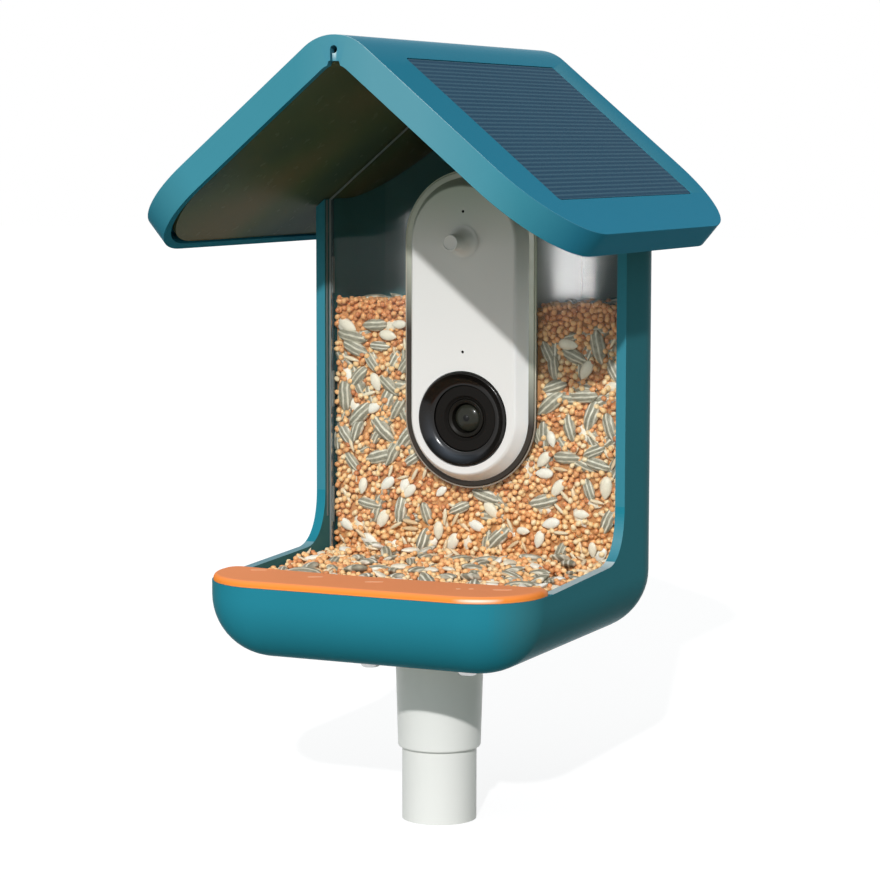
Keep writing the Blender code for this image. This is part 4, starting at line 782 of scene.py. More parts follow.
def housing():
    shell = housing_stack("housing", 0.0, HOUSING_TOP)
    reach, high = 4.0 * MM, 2.0 * PERCH_TOP
    hopper = housing_stack("hopper", WALL, HOUSING_TOP + BEYOND)
    cut(hopper, prism("perch_zone", perch_outline(reach, 0.0), 0.0, HOUSING_TOP + 2 * BEYOND))
    pocket = housing_stack("pocket", WALL, PERCH_TOP)
    cut(pocket, prism("pocket_zone", perch_outline(reach, -DIVIDER), 0.0, high), operation="INTERSECT")
    front = prism("front", sweep_outline(), -2 * HOUSING_HALF, 2 * HOUSING_HALF, "X")
    ledge = prism("ledge", perch_outline(reach, GAP), PERCH_BOTTOM - PERCH_SEAT_GAP, high)
    opening = CASE_RADIUS + SERVICE_GAP
    service = pill_loft("service", ((CELL_Y, opening), (HOUSING_REAR + 2 * BEYOND, opening)))
    cut(shell, hopper, pocket, front, ledge, above_liner(ROOF_CLEARANCE), service)
    holes = [(x, y, SCREW_HOLE_RADIUS) for x, y in SCREW_PLACES]
    holes += [(x, y, DRAIN_RADIUS) for x in (-DRAIN_X, DRAIN_X) for y in DRAIN_Y]
    for x, y, radius in holes:
        cut(shell, rod(radius, HOUSING_BOTTOM - BEYOND, HOUSING_BOTTOM + WALL + BEYOND, (x, y, 0.0), "Z"))
    # Painted sheen on the tray's rim, the uprights' fronts and the right sweep.
    mark(shell, "pale", housing_painted_sheen, "FACE")
    # Painted shade on the walls' inner faces and, less, on their sides.
    mark(shell, "second", housing_painted_shade, "FACE")
    dress(shell, "housing_moulding", TEAL, "feeder", "teal_plastic", "housing_shell")


def perch_glint(place, normal):
    """A painted highlight on the perch's front edge near its right end."""
    near = max(0.0, 1.0 - ((place.x - GLINT_X) / GLINT_REACH) ** 2)
    low = max(0.0, 1.0 - ((normal.z - 0.25) / 0.3) ** 2)
    return near * low if normal.y < -0.3 else 0.0


def perch_rim(place, normal):
    """The perch's outer edge has a deeper tone than its top, painted light: the top has a sky sheen that the
    edge lacks.
    """
    return sqrt(max(1.0 - normal.z ** 2, 0.0)) if place.y < PERCH_BACK - PERCH_BACK_CORNER else 0.0


def perch():
    rings = [[(x, y, PERCH_BOTTOM) for x, y in perch_outline(0.0, 0.0)]]
    for drawn, below in quarter(PERCH_EDGE_RADIUS, PERCH_EDGE_STEPS):
        rings.append([(x, y, PERCH_TOP - below) for x, y in perch_outline(-drawn, -drawn)])
    pad = loft("perch", rings)
    # Painted highlight on the front edge.
    mark(pad, "pale", perch_glint)
    # Painted light: the outer edge's deeper tone, without the top's sky sheen.
    mark(pad, "second", perch_rim)
    dress(pad, "perch_pad", ORANGE, "feeder", "orange_plastic", "perch_cover")
    half = MARK_WIDTH / 2
    for number, ends in enumerate(PERCH_MARKS, start=1):
        (x1, y1), (x2, y2) = (mm(*end) for end in ends)
        heading = degrees(atan2(y2 - y1, x2 - x1))
        outline = arc((x2, y2), half, heading - 90.0, heading + 90.0, 6)
        outline += arc((x1, y1), half, heading + 90.0, heading + 270.0, 6)
        rib = prism("rib", outline, PERCH_TOP - MARK_EDGE, PERCH_TOP + MARK_HEIGHT)
        round_edges(rib, MARK_EDGE, 1)
        dress(rib, f"perch_mark_{number}", MARKS, "feeder", "orange_plastic")


def window():
    def gabled(width, y_range, bottom, gap):
        plate = box("plate", (-width, width), y_range, (bottom, HOUSING_TOP + BEYOND))
        cut(plate, above_liner(gap))
        return plate

    half = HOUSING_HALF - WALL - WINDOW_SIDE_GAP
    pane = gabled(half, (WINDOW_FRONT, WINDOW_BACK), WINDOW_BOTTOM, WINDOW_ROOF_GAP)
    opening = CASE_RADIUS + WINDOW_OPENING_GAP
    cut(pane, pill_loft("opening", ((WINDOW_FRONT - BEYOND, opening), (WINDOW_BACK + BEYOND, opening))))
    dress(pane, "window_pane", CLEAR, "feeder", "clear_plastic", "seed_window")
    skin = WINDOW_FRONT - BORDER_PROUD
    border = gabled(half, (skin, WINDOW_FRONT), WINDOW_BOTTOM, WINDOW_ROOF_GAP)
    cut(border, gabled(half - BORDER_WIDTH, (skin - BEYOND, WINDOW_FRONT + BEYOND), 0.0,
                       WINDOW_ROOF_GAP + BORDER_WIDTH))
    dress(border, "pane_border", EDGE, "feeder", "clear_plastic")
    inner, outer = GASKET_RADIUS + PANE_LIP_GAP, GASKET_RADIUS + PANE_LIP_GAP + PANE_LIP_WIDTH
    proud = WINDOW_FRONT - PANE_LIP_PROUD
    crown = arc((proud, inner + PANE_LIP_WIDTH / 2), PANE_LIP_CROWN, 270.0, 90.0, 6, PANE_LIP_WIDTH / 2)
    lip = [(WINDOW_FRONT, inner), (proud, inner), *crown, (proud, outer), (WINDOW_FRONT, outer)]
    dress(pill_loft("lip", lip, cyclic=True), "pane_lip", LIP, "feeder", "clear_plastic")


def pole_and_adapter():
    bore, lip, flare = POLE_RADIUS + GAP, ADAPTER_FOOT_LIP, ADAPTER_NECK_FLARE
    flange_top, shoulder = HOUSING_BOTTOM - GAP, POLE_TOP + GAP + 1.0 * MM
    profile = [(bore, ADAPTER_BOTTOM)]
    profile += arc((ADAPTER_FOOT_RADIUS - lip, ADAPTER_BOTTOM + lip), lip, 270.0, 360.0, 8)
    profile += arc((ADAPTER_NECK_RADIUS + flare, FLANGE_BOTTOM - flare), flare, 180.0, 90.0, 8)
    profile += arc((FLANGE_RADIUS - FLANGE_EDGE, FLANGE_BOTTOM + FLANGE_EDGE), FLANGE_EDGE, 270.0, 360.0, 4)
    profile += [(FLANGE_RADIUS, flange_top), (ADAPTER_TOP_BORE, flange_top), (ADAPTER_TOP_BORE, shoulder),
                (bore, shoulder)]
    adapter = turned("adapter", profile, axis="Z")
    for number, (x, y) in enumerate(SCREW_PLACES, start=1):
        cut(adapter, rod(SCREW_HOLE_RADIUS, FLANGE_BOTTOM - BEYOND, flange_top + BEYOND, (x, y, 0.0), "Z"))
        fasteners(x, y, number)
    dress(adapter, "adapter_sleeve", PIPE, "feeder", "white_plastic", "pole_adapter")
    inner = POLE_RADIUS - POLE_WALL
    pole = ((inner, 0.0), (POLE_RADIUS, 0.0), (POLE_RADIUS, POLE_TOP - POLE_EDGE),
            (POLE_RADIUS - POLE_EDGE, POLE_TOP), (inner, POLE_TOP))
    dress(turned("pole", pole, axis="Z"), "pole_pipe", PIPE, "feeder", "white_plastic", "pole_tube")


def fasteners(x, y, number):
    """A rounded socket screw and its washer."""
    top, edge = FLANGE_BOTTOM - GAP, WASHER_EDGE
    low = top - WASHER_THICKNESS
    ring = [(SCREW_HOLE_RADIUS, low), (WASHER_RADIUS - edge, low), (WASHER_RADIUS, low + edge),
            (WASHER_RADIUS, top - edge), (WASHER_RADIUS - edge, top), (SCREW_HOLE_RADIUS, top)]
    washer = turned("washer", ring, (x, y, 0.0), "Z", FASTENER_STEPS)
    dress(washer, f"washer_{number}", STEEL, "feeder", "steel", f"adapter_washer_{number}")
    seat, end, curve = low - GAP, HOUSING_BOTTOM + WALL - 0.5 * MM, SCREW_HEAD_CURVE
    foot = seat - SCREW_HEAD_HEIGHT
    profile = [(0.0, foot), *arc((SCREW_HEAD_RADIUS - curve, foot + curve), curve, 270.0, 360.0, 6),
               (SCREW_HEAD_RADIUS, seat), (SCREW_RADIUS, seat), (SCREW_RADIUS, end), (0.0, end)]
    screw = turned("screw", profile, (x, y, 0.0), "Z", FASTENER_STEPS)
    cut(screw, rod(SCREW_RADIUS, foot - BEYOND, foot + 2.0 * MM, (x, y, 0.0), "Z", 6))
    dress(screw, f"screw_{number}", STEEL, "feeder", "steel", f"adapter_screw_{number}")


# Pieces on the roof body
def upper_edge(place, normal):
    """How far a vertex of the roof's front turns from the slope towards the rim: the weight of the painted
    highlight line there.
    """
    angle = min(abs(place.x) / RIDGE_RADIUS, ROOF_PITCH)
    slope = Vector((sin(angle) * (1.0 if place.x > 0.0 else -1.0), 0.0, cos(angle)))
    facing = clamp(normal.dot(slope))
    if place.y > ROOF_FRONT + ROOF_CORNER or normal.y > -0.2:
        return 0.0
    return (2.0 * facing * sqrt(1.0 - facing * facing)) ** 3


def roof():
    shell = inset_roof_slab("roof", 0.0, 0.0, ROOF_THICKNESS)
    round_edges(shell, ROOF_EDGE_RADIUS, 6, 50.0)
    cut(shell, inset_roof_slab("hollow", ROOF_RIM, ROOF_SKIN, 1.3 * ROOF_THICKNESS))
    cut(shell, *(panel_slab(side, PANEL_SIDE_GAP, -BEYOND, PANEL_THICKNESS + GAP) for side in (1, -1)))
    front, back = ROOF_FRONT - BEYOND, ROOF_FRONT + ROOF_RIM + BEYOND
    hole = rod(HANG_HOLE_RADIUS, front, back, (0.0, 0.0, HANG_HOLE_Z), "Y", 40)
    slot = box("hang_slot", (-HANG_HOLE_RADIUS, HANG_SLOT_WIDTH - HANG_HOLE_RADIUS), (front, back),
               (NOTCH_TOP_Z - 1.0 * MM, HANG_HOLE_Z))
    notch = prism("notch", [(-NOTCH_BOTTOM_HALF, NOTCH_BOTTOM_Z), (NOTCH_BOTTOM_HALF, NOTCH_BOTTOM_Z),
                            (NOTCH_TOP_HALF, NOTCH_TOP_Z), (-NOTCH_TOP_HALF, NOTCH_TOP_Z)], front, back, "Y")
    cut(shell, hole, slot, notch)
    # Weights for the painted highlight along the front's upper edge, and for the front rim, which keeps the
    # plain teal and takes the painted sheen.
    mark(shell, "edge", upper_edge)
    mark(shell, "front", lambda _place, normal: clamp(-normal.y * 2.0 - 0.9))
    dress(shell, "roof_moulding", ROOF_TEAL, "roof", "teal_plastic", "roof_shell")
    liner = inset_roof_slab("liner", ROOF_RIM + LINER_SIDE_GAP, LINER_TOP, LINER_BOTTOM, LINER_CORNER)
    dress(liner, "roof_underside", LINER, "roof", "liner_plastic", "roof_liner")
    for side, word in ((1, "right"), (-1, "left")):
        panel = panel_slab(side, 0.0, PANEL_SUNK, PANEL_THICKNESS)
        round_edges(panel, PANEL_EDGE)
        dress(panel, f"solar_face_{word}", SOLAR, "roof", "solar_glass", f"solar_panel_{word}")


# Pieces on the camera body
def camera_front():
    end_y, end_radius = COVER_EDGE[-1]
    cover = pill_loft("cover", [(COVER_SKIRT, COVER_RADIUS), *reversed(bezier(COVER_EDGE, COVER_STEPS))])
    rise = (COVER_RADIUS - end_radius) / (COVER_SKIRT - end_y)
    low, high = COVER_FACE + COVER_SKIN, COVER_SKIRT + BEYOND
    cut(cover, pill_loft("inside", [(y, end_radius - COVER_WALL + rise * (y - end_y)) for y in (low, high)]))
    holes = [(LENS_Z, LENS_RING_RADIUS + GAP, TURN_STEPS), (PEG_Z, PEG_TAIL_RADIUS + GAP, 32)]
    holes += [(z, PINHOLE_RADIUS, 20) for z in (MICROPHONE_Z, STATUS_LIGHT_Z)]
    for z, radius, sides in holes:
        cut(cover, rod(radius, COVER_FACE - BEYOND, high, (0.0, 0.0, z), "Y", sides))
    # Painted bounce light on the cover's sides, kept to its lower part.
    mark(cover, "pale", lambda _place, normal: clamp((0.9 - abs(normal.y)) / 0.4), "FACE")
    dress(cover, "camera_cover", COVER_WHITE, "camera", "white_plastic", "camera_front")
    radius, (rim, dip, back) = PINHOLE_RADIUS - PINHOLE_GAP, mm(0.2, 0.35, 1.2)
    for name, z in (("microphone_hole", MICROPHONE_Z), ("status_hole", STATUS_LIGHT_Z)):
        dish = ((0.0, COVER_FACE + dip), (radius, COVER_FACE + rim), (radius, COVER_FACE + back),
                (0.0, COVER_FACE + back))
        dress(turned("plug", dish, (0.0, 0.0, z), steps=24), name, DARK, "camera", "dark_plastic")


def camera_gasket():
    edge, inner = GASKET_CHAMFER, GASKET_INNER
    corner = arc((GASKET_FRONT + edge, GASKET_RADIUS - edge), edge, 90.0, 180.0, 6)
    profile = [(GASKET_BACK, GASKET_RADIUS), *corner, (GASKET_FRONT, inner), (GASKET_BACK, inner)]
    dress(pill_loft("gasket", profile, cyclic=True), "gasket_band", BAND, "camera", "gasket_rubber",
          "camera_gasket")


def from_lens_axis(place):
    return sqrt(place.x ** 2 + (place.z - LENS_Z) ** 2)


def pupil(place, _normal):
    """The dark spot in the middle of the lens."""
    return clamp((PUPIL_RADIUS + PUPIL_EDGE - from_lens_axis(place)) / PUPIL_EDGE)


def dish_sheen(place, _normal):
    """The sky's dim sheen in the lower left of the lens dish."""
    around = degrees(atan2(place.z - LENS_Z, place.x))
    turn = abs((around - SHEEN_TURN + 180.0) % 360.0 - 180.0)
    away = abs(from_lens_axis(place) - SHEEN_RADIUS)
    return clamp(1.0 - turn / SHEEN_REACH) * clamp(1.0 - away / SHEEN_HALF)


def lens():
    centre = (0.0, 0.0, LENS_Z)
    lip, mouth = LENS_RING_LIP, LENS_RING_RADIUS - LENS_RING_LIP
    profile = [(LENS_RING_RADIUS, LENS_RING_BACK), *arc((mouth, LENS_RING_FRONT + lip), lip, 0.0, -90.0, 5)]
    for step in range(1, FUNNEL_STEPS + 1):
        share = step / FUNNEL_STEPS
        profile.append((mouth - (mouth - LENS_RECESS_RADIUS) * share,
                        LENS_RING_FRONT + FUNNEL_DEPTH * sin(share * pi / 2)))
    ring = turned("ring", [*profile, (LENS_RECESS_RADIUS, LENS_RING_BACK)], centre, steps=LENS_RING_STEPS)
    mark(ring, "pale", dish_sheen)
    dress(ring, "lens_bezel", GLOSS, "camera", "gloss_black", "lens_ring")

    outer, inner, step_y = LENS_RECESS_RADIUS - GAP, BARREL_RADIUS + GAP, BAFFLE_FRONT + BAFFLE_STEP
    baffle = ((outer, LENS_RING_BACK), (outer, BAFFLE_FRONT + BAFFLE_EDGE),
              (outer - BAFFLE_EDGE, BAFFLE_FRONT), (inner + BAFFLE_STEP_WIDTH, BAFFLE_FRONT),
              (inner + GAP, step_y), (inner, step_y), (inner, LENS_RING_BACK))
    dress(turned("baffle", baffle, centre), "lens_flat", DARK, "camera", "dark_plastic", "lens_baffle")

    edge, seat, floor_y = BARREL_EDGE, DOME_RADIUS + GAP, BARREL_FRONT + BARREL_FLOOR
    barrel = [(BARREL_RADIUS, BARREL_BACK),
              *arc((BARREL_RADIUS - edge, BARREL_FRONT + edge), edge, 0.0, -90.0, 4),
              (seat + 0.2 * MM, BARREL_FRONT + BARREL_LIP), (seat, floor_y - BARREL_TAPER),
              (BARREL_BORE, floor_y), (BARREL_BORE, BARREL_BACK)]
    dress(turned("barrel", barrel, centre), "lens_tube", TUBE, "camera", "dark_plastic", "lens_barrel")

    dome = arc((0.0, DOME_FOOT), DOME_RADIUS, 90.0, 0.0, 16, -DOME_HEIGHT)
    glass = turned("dome", [*dome, (0.0, DOME_FOOT + 2 * GAP)], centre)
    mark(glass, "second", pupil)
    dress(glass, "lens_dome", GLASS, "camera", "lens_glass", "lens_glass")


def accessory_peg():
    foot, tail, edge = COVER_FACE - GAP, COVER_BACK - 1.0 * MM, PEG_EDGE
    rim = PEG_RADIUS - PEG_TIP_RIM
    profile = [(0.0, PEG_TIP + GAP), (rim, PEG_TIP + GAP), (rim + 0.15 * MM, PEG_TIP)]
    profile += arc((PEG_RADIUS - edge, PEG_TIP + edge), edge, -90.0, 0.0, 4)
    profile += arc((PEG_FOOT_RADIUS, PEG_FLARE_START), PEG_FOOT_RADIUS - PEG_RADIUS, 180.0, 90.0, 14,
                   foot - PEG_FLARE_START)
    profile += [(PEG_TAIL_RADIUS, foot), (PEG_TAIL_RADIUS, tail), (0.0, tail)]
    dress(turned("peg", profile, (0.0, 0.0, PEG_Z), steps=64), "mount_peg", WHITE, "camera", "white_plastic",
          "accessory_peg")


# Seed
def seed_bed():
    """The dark core behind and under the loose seed."""
    body = housing_stack("seed", WALL + SEED_GAP + 0.6 * MM, SEED_LEVEL - 2.0 * MM)
    cut(body, prism("perch_zone", perch_outline(8.0 * MM, SEED_GAP + 1.0 * MM), 0.0, SEED_TOP))
    cut(body, box("above_tray", (-2 * HOUSING_HALF, 2 * HOUSING_HALF),
                  (2 * HOUSING_FRONT, WINDOW_BACK + GAP + BED_SHRINK),
                  (TRAY_SEED_LEVEL - BED_DROP, SEED_TOP)))
    channel = CASE_RADIUS + CASE_SIDE_GAP + 0.2 * MM
    cut(body, pill_loft("channel", ((COVER_FACE, channel), (HOUSING_REAR + 2 * BEYOND, channel))))
    dress(body, "seed_core", BED, "feeder", "seed_mix", "seed_fill", smooth=False)


def ovoid(segments, rings, tip):
    """A closed unit seed, long along X, with a point at one end; returns vertices and triangles."""
    points = [(-1.0, 0.0, 0.0)]
    for ring in range(1, rings):
        along, radius = -cos(pi * ring / rings), sin(pi * ring / rings)
        share = tip * (0.5 + 0.5 * along)
        radius = radius ** (1.0 + share) * (1.0 - 0.3 * share)
        for step in range(segments):
            turn = 2.0 * pi * step / segments
            points.append((along, radius * cos(turn), radius * sin(turn)))
    points.append((1.0, 0.0, 0.0))
    faces = []
    last, base = len(points) - 1, 1 + (rings - 2) * segments
    for step in range(segments):
        after = (step + 1) % segments
        faces += [(0, 1 + after, 1 + step), (last, base + step, base + after)]
        for low in range(1, base, segments):
            high = low + segments
            faces += [(low + step, low + after, high + after), (low + step, high + after, high + step)]
    return np.array(points, np.float64), np.array(faces, np.int64)


def scatter(name, material, form, sizes, places, frames, tints):
    """One mesh of many seeds: each a scaled, turned and placed copy of the form."""
    points, faces = form
    count = len(places)
    local = np.repeat(points[None, :, :], count, axis=0)
    world = np.einsum("nij,nkj->nki", frames, local * sizes[:, None, :]) + places[:, None, :]
    vertices = world.reshape(-1, 3)
    triangles = (faces[None, :, :] + (np.arange(count) * len(points))[:, None, None]).reshape(-1, 3)
    mesh = bpy.data.meshes.new(name)
    mesh.from_pydata(vertices, [], triangles)
    attach(mesh, "tint", np.repeat(tints, len(points)))
    attach(mesh, "local", local, "FLOAT_VECTOR")
    mesh.shade_smooth()
    mesh.materials.append(material)
    obj = add_object(name, mesh)
    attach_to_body(obj, "feeder")


def turned_frame(normal, spin, tilt):
    """A rotation matrix whose third axis is near the normal, spun about it."""
    base = Vector(normal).to_track_quat("Z", "Y").to_matrix()
    return np.array(base @ (Matrix.Rotation(spin, 3, "Z") @ Matrix.Rotation(tilt, 3, "Y")))


class Bed:
    """A flat field of seed to fill: dart throwing in two dimensions over a grid."""

    def __init__(self, generator, bounds, inside):
        self.generator = generator
        self.bounds = bounds
        self.inside = inside
        self.cell, self.largest = mm(2.0, 6.5)
        self.taken = {}

    def near(self, u, v, reach):
        span = int(reach / self.cell) + 1
        column, row = int(u // self.cell), int(v // self.cell)
        for i in range(column - span, column + span + 1):
            for j in range(row - span, row + span + 1):
                yield from self.taken.get((i, j), ())

    def free(self, u, v, radius, slack):
        return all((a - u) ** 2 + (b - v) ** 2 >= ((radius + other) * slack) ** 2
                   for a, b, other in self.near(u, v, radius + self.largest))

    def put(self, u, v, radius):
        self.taken.setdefault((int(u // self.cell), int(v // self.cell)), []).append((u, v, radius))

    def long_seeds(self, count, size, slack, weight=None):
        """Places and headings of long seeds, each kept as a row of discs."""
        found = []
        for _ in range(count * TRIES_PER_SEED):
            if len(found) == count:
                break
            u, v = self.generator.uniform(*self.bounds)
            if weight and self.generator.uniform() > weight(v):
                continue
            heading = self.generator.uniform(0.0, pi)
            ends, discs = ([(u + size[0] * s * cos(heading), v + size[0] * s * sin(heading)) for s in shares]
                           for shares in ((-1.0, 1.0), DISC_SHARES))
            if not all(self.inside(a, b, SEED_GAP) for a, b in ends + discs):
                continue
            if all(self.free(a, b, size[1], slack) for a, b in discs):
                for a, b in discs:
                    self.put(a, b, size[1] * DISC_SHRINK)
                found.append((u, v, heading))
        return found

    def long_kinds(self, counts, slacks=(0.8, 0.8, 0.8), weights=(None, None, None)):
        return {kind: self.long_seeds(count, size, slack, weight)
                for (kind, size), count, slack, weight in zip(LONG_KINDS, counts, slacks, weights)}

    def millet(self, slack, tries):
        """Places of round seeds in the room that is left; they have no heading."""
        found = []
        for u, v in self.generator.uniform(*self.bounds, (tries, 2)):
            if self.inside(u, v, MILLET_RADIUS) and self.free(u, v, MILLET_RADIUS, slack):
                self.put(u, v, MILLET_RADIUS)
                found.append((u, v, None))
        return found


def in_hopper(x, y, margin):
    """True where a point of the plan lies inside the hopper's walls."""
    half = HOUSING_HALF - WALL - SEED_GAP - margin
    rear = HOUSING_REAR - WALL - SEED_GAP - margin
    if abs(x) > half or y > rear:
        return False
    radius = REAR_CORNER - WALL - SEED_GAP - margin
    corner_x, corner_y = half - radius, rear - radius
    if abs(x) > corner_x and y > corner_y:
        return (abs(x) - corner_x) ** 2 + (y - corner_y) ** 2 < radius ** 2
    return True


def from_pill(x, z):
    """Distance from the pill's centre line."""
    return sqrt(x * x + (z - min(max(z, LENS_Z), PEG_Z)) ** 2)


def striped_weight(z):
    """More striped seed in the band beside the lens than below it."""
    return 1.0 if z > LENS_BAND_BOTTOM else STRIPED_BELOW_LENS


def cream_weight(z):
    """Somewhat fewer cream seeds below the lens."""
    return 1.0 if z > LENS_BAND_BOTTOM else CREAM_BELOW_LENS


def window_layers(generator):
    """Seed pressed against the back of the window: depths behind it, each with its seeds by kind."""
    channel = CASE_RADIUS + CASE_SIDE_GAP + WINDOW_SEED_GAP
    rail = HOUSING_HALF - WALL - GUIDE_REACH
    top = SEED_LEVEL + WINDOW_SEED_RISE

    def inside(x, z, margin):
        waves = sum(height * sin(x * across + shift) for height, across, shift in WINDOW_WAVES)
        return (abs(x) < rail - 0.85 * margin and SEED_FOOT < z < top + waves - margin
                and from_pill(x, z) > channel + margin)

    def large_inside(x, z, margin):
        return inside(x, z, margin) and z < top - LONG_SEED_DROP

    limits = ((-rail, SEED_FOOT), (rail, top + BEYOND))
    face, buried = Bed(generator, limits, large_inside), Bed(generator, limits, large_inside)
    deep = buried.long_kinds(BURIED_LAYER, BURIED_SLACKS, (striped_weight, striped_weight, None))
    groups = face.long_kinds(FACE_LAYER, FACE_SLACKS, (striped_weight, cream_weight, None))
    face.inside = inside
    groups["millet"] = face.millet(*FACE_MILLET)
    behind = Bed(generator, limits, inside)
    return (0.0, groups), (BURIED_DEPTH, deep), (BEHIND_DEPTH, {"millet": behind.millet(*BEHIND_MILLET)})


def tray_level(x, y):
    """Height of the heaped seed in the tray, as in the solid."""
    waves = sum(height * sin(across * x + shift) * sin(along * y + turn)
                for height, across, shift, along, turn in TRAY_WAVES)
    rise = TRAY_RISE * max(0.0, (y - TRAY_RISE_START) / (WINDOW_FRONT - TRAY_RISE_START)) ** 2
    return TRAY_SEED_LEVEL + waves + rise - TRAY_FALL * max(0.0, abs(x) - TRAY_FALL_START)


def in_tray(x, y, margin):
    share = min(abs(x) / (HOUSING_HALF - PERCH_INSET - PERCH_BACK_CORNER), 1.0)
    return (in_hopper(x, y, margin)
            and PERCH_BACK + PERCH_BACK_RISE * share ** 2 + margin < y < WINDOW_FRONT - GAP - margin)


def in_hopper_top(x, y, margin):
    channel = CASE_RADIUS + CASE_SIDE_GAP + SEED_GAP
    return in_hopper(x, y, margin) and y > WINDOW_BACK + TOP_SEED_START + margin and abs(x) > channel + margin


def in_hopper_rear(x, y, margin):
    return in_hopper_top(x, y, margin) and y > WINDOW_BACK + TOP_LONG_START


def laid_seeds(generator):
    """Every loose seed: its kind, place, upward direction, heading and tilt."""
    def spin(heading):
        return generator.uniform(0.0, pi) if heading is None else heading

    for depth, groups in window_layers(generator):
        for kind, found in groups.items():
            for x, z, heading in found:
                y = WINDOW_BACK + GAP + HALF_THICKNESS[kind] + depth + generator.uniform(0.0, WINDOW_STRAY)
                heading = spin(heading and -heading)
                yield kind, (x, y, z), (0.0, -1.0, 0.0), heading, generator.uniform(-WINDOW_TILT, WINDOW_TILT)
    for sink, counts in TRAY_LAYERS:
        bed = Bed(generator, TRAY_LIMITS, in_tray)
        groups = {**bed.long_kinds(counts), "millet": bed.millet(*TRAY_MILLET)}
        for kind, found in groups.items():
            for x, y, heading in found:
                z = tray_level(x, y) - sink + generator.uniform(*TRAY_STRAY) * MM
                heading, tilt = spin(heading), generator.uniform(-TRAY_TILT, TRAY_TILT)
                yield kind, (x, y, z), (*generator.normal(0.0, TRAY_LEAN, 2), 1.0), heading, tilt
    bed = Bed(generator, TOP_LIMITS, in_hopper_rear)
    groups = bed.long_kinds(TOP_LAYER)
    bed.inside = in_hopper_top
    groups["millet"] = bed.millet(*TOP_MILLET)
    for kind, found in groups.items():
        for x, y, heading in found:
            z = SEED_LEVEL - TOP_DROP + generator.uniform(-TOP_STRAY, TOP_STRAY) * MM
            heading, up = spin(heading), (*generator.normal(0.0, TOP_LEAN, 2), 1.0)
            yield kind, (x, y, z), up, heading, generator.uniform(-TOP_TILT, TOP_TILT)


def seeds():
    """Lay the loose seed and gather each kind into one mesh."""
    generator = np.random.default_rng(RANDOM_SEED)
    rows = {}
    for kind, *row in laid_seeds(generator):
        rows.setdefault(kind, []).append(row)
    flat = MILLET_RADIUS * GRAIN_FLATNESS
    looks = (("millet", MILLET, (6, 5, 0.3), (MILLET_RADIUS, flat, flat), 0.04),
             ("sunflower", HULL, (10, 9, 0.65), SUNFLOWER, 0.12),
             ("cream", CREAM, (10, 8, 0.7), CREAM_SEED, 0.12),
             ("husk", STRAW, (7, 6, 0.6), HUSK, 0.12))
    for kind, material, form, half, vary in looks:
        places = np.array([row[0] for row in rows[kind]])
        frames = np.array([turned_frame(*row[1:]) for row in rows[kind]])
        sizes = np.array(half)[None, :] * generator.normal(1.0, vary, (len(places), 1)).clip(*SIZE_LIMITS)
        tints = generator.uniform(0.0, 1.0, len(places))
        # Painted shade: millet turns darker towards the top of the window's fill, under the roof.
        if kind == "millet":
            tints *= 1.0 - TOP_SEED_SHADE * ((places[:, 2] - SEED_SHADE_BOTTOM) / SEED_SHADE_SPAN).clip(0.0, 1.0)
        scatter("loose_" + kind, material, ovoid(*form), sizes, places, frames, tints)


def repaint():
    """Give the CAD nodes that stay their materials."""
    looks = ((BRACKET, "hinge_bracket_right hinge_bracket_left hinge_leaf"),
             (STEEL, "hinge_pin microphone charging_port"), (CASE, "camera_case"),
             (GLASS, "lens_inner_element"), (DARK, "lens_holder battery_cradle speaker button_switch"),
             (BOARD, "main_board"), (SLEEVE, "battery_cell_right battery_cell_left"),
             (LIGHT, "status_light"), (RUBBER, "power_button port_flap"))
    for material, names in looks:
        for name in names.split():
            for slot in NODES[name].material_slots:
                slot.material = material


# Stage
def camera():
    a, e, r = VIEW_AZIMUTH, VIEW_PITCH, VIEW_ROLL
    back = Vector((sin(a) * cos(e), -cos(a) * cos(e), sin(e)))
    right = Vector((cos(a), sin(a), 0.0))
    up = back.cross(right)
    data = bpy.data.cameras.new("view")
    data.sensor_width, data.lens = SENSOR, FOCAL_PIXELS * SENSOR / FRAME_PIXELS
    data.clip_start, data.clip_end = 0.01, 20.0
    matrix = Matrix((right * cos(r) + up * sin(r), up * cos(r) - right * sin(r), back)).transposed().to_4x4()
    matrix.translation = VIEW_TARGET + right * VIEW_ASIDE + back * VIEW_DISTANCE
    bpy.context.scene.camera = add_object("view", data)
    bpy.context.scene.camera.matrix_world = matrix


def sun(name, direction, strength, angle, mirrored=True):
    data = bpy.data.lights.new(name, "SUN")
    data.energy, data.angle = strength, angle
    obj = add_object(name, data)
    obj.rotation_euler = direction.to_track_quat("Z", "Y").to_euler()
    obj.visible_glossy = mirrored


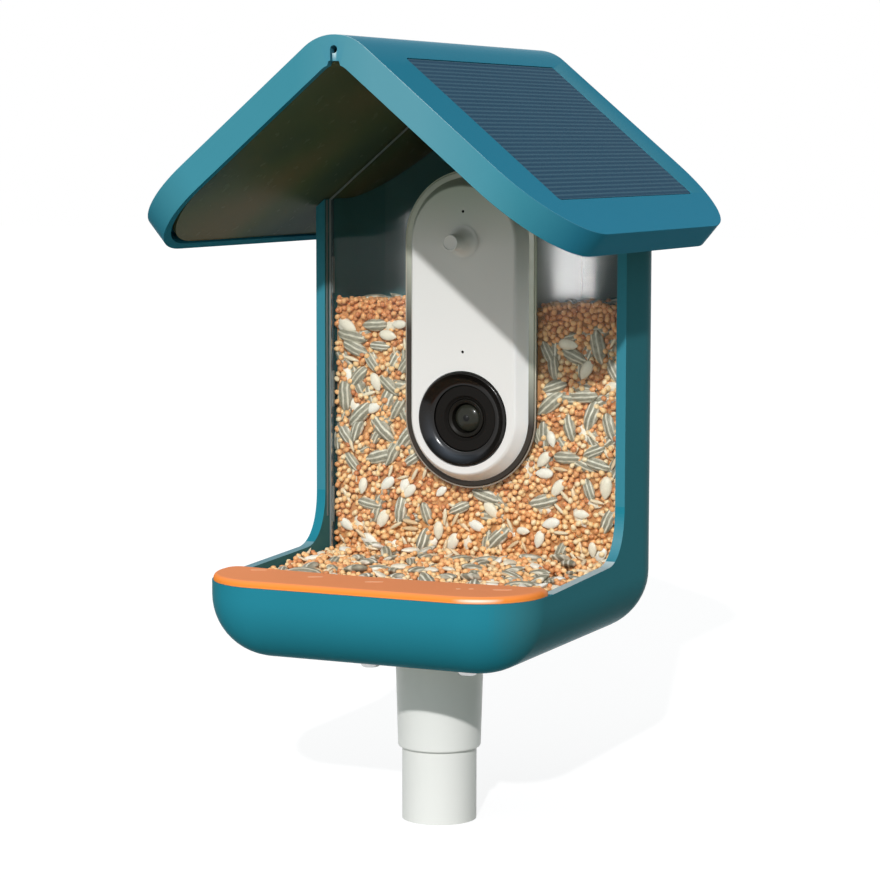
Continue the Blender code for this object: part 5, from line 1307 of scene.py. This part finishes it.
def strip_lamp():
    """A narrow soft lamp at the front left, seen mirrored in the window beside the camera."""
    eye = bpy.context.scene.camera.matrix_world.translation.copy()
    eye.y = 2.0 * WINDOW_FRONT - eye.y
    towards = STRIP_MIRRORED - eye
    data = bpy.data.lights.new("strip", "AREA")
    data.shape, data.energy = "RECTANGLE", STRIP_POWER
    data.size, data.size_y = STRIP_SIZE
    obj = add_object("strip", data)
    obj.location = eye + towards.normalized() * STRIP_DISTANCE
    obj.rotation_euler = towards.to_track_quat("Z", "Y").to_euler()


def world():
    """White where it is seen or mirrored; for the rest a soft fill from the front and above."""
    graph = Graph("studio", "worlds")
    bpy.context.scene.world = graph.owner
    seen = graph.seen()
    direction = {0: graph.place.node.outputs["Generated"], 1: FILL_TOWARDS.normalized()}
    facing = graph.node("ShaderNodeVectorMath", "Value", direction, operation="DOT_PRODUCT")
    fill = graph.spread(facing, *FILL_STRENGTHS, FILL_START, 1.0)
    inputs = graph.tree.nodes["Background"].inputs
    graph.feed(inputs["Color"], graph.mix(seen, FILL_TINT, WHITE_LIGHT))
    graph.feed(inputs["Strength"], graph.math("MAXIMUM", fill, seen))


def floor():
    """Pale paper that keeps the shadow and glows up to white where it is seen."""
    corners = [(x * FLOOR_SIZE, y * FLOOR_SIZE, 0.0) for x, y in ((-1, -1), (1, -1), (1, 1), (-1, 1))]
    obj = new_object("floor", corners, [(0, 1, 2, 3)])
    graph = Graph("floor_paper")
    graph.tree.nodes.remove(graph.shader)
    seen = graph.seen()
    paper = graph.mix(seen, FLOOR_COLOUR, FLOOR_GREY)
    diffuse = graph.node("ShaderNodeBsdfDiffuse", "BSDF", {"Color": paper})
    glow = graph.node("ShaderNodeEmission", "Emission", {"Strength": graph.times(seen, FLOOR_GLOW)})
    obj.data.materials.append(graph.surface("ShaderNodeAddShader", {0: diffuse, 1: glow}))


camera()
sun("key", SUN_DIRECTION, SUN_STRENGTH, SUN_ANGLE)
sun("back_light", BACK_LIGHT_DIRECTION, BACK_LIGHT_STRENGTH, BACK_LIGHT_ANGLE, mirrored=False)
strip_lamp()
world()
floor()
bpy.context.scene.view_settings.view_transform = "Standard"

housing()
window_guides()
perch()
window()
pole_and_adapter()
roof()
camera_front()
camera_gasket()
lens()
accessory_peg()
seed_bed()
seeds()
repaint()
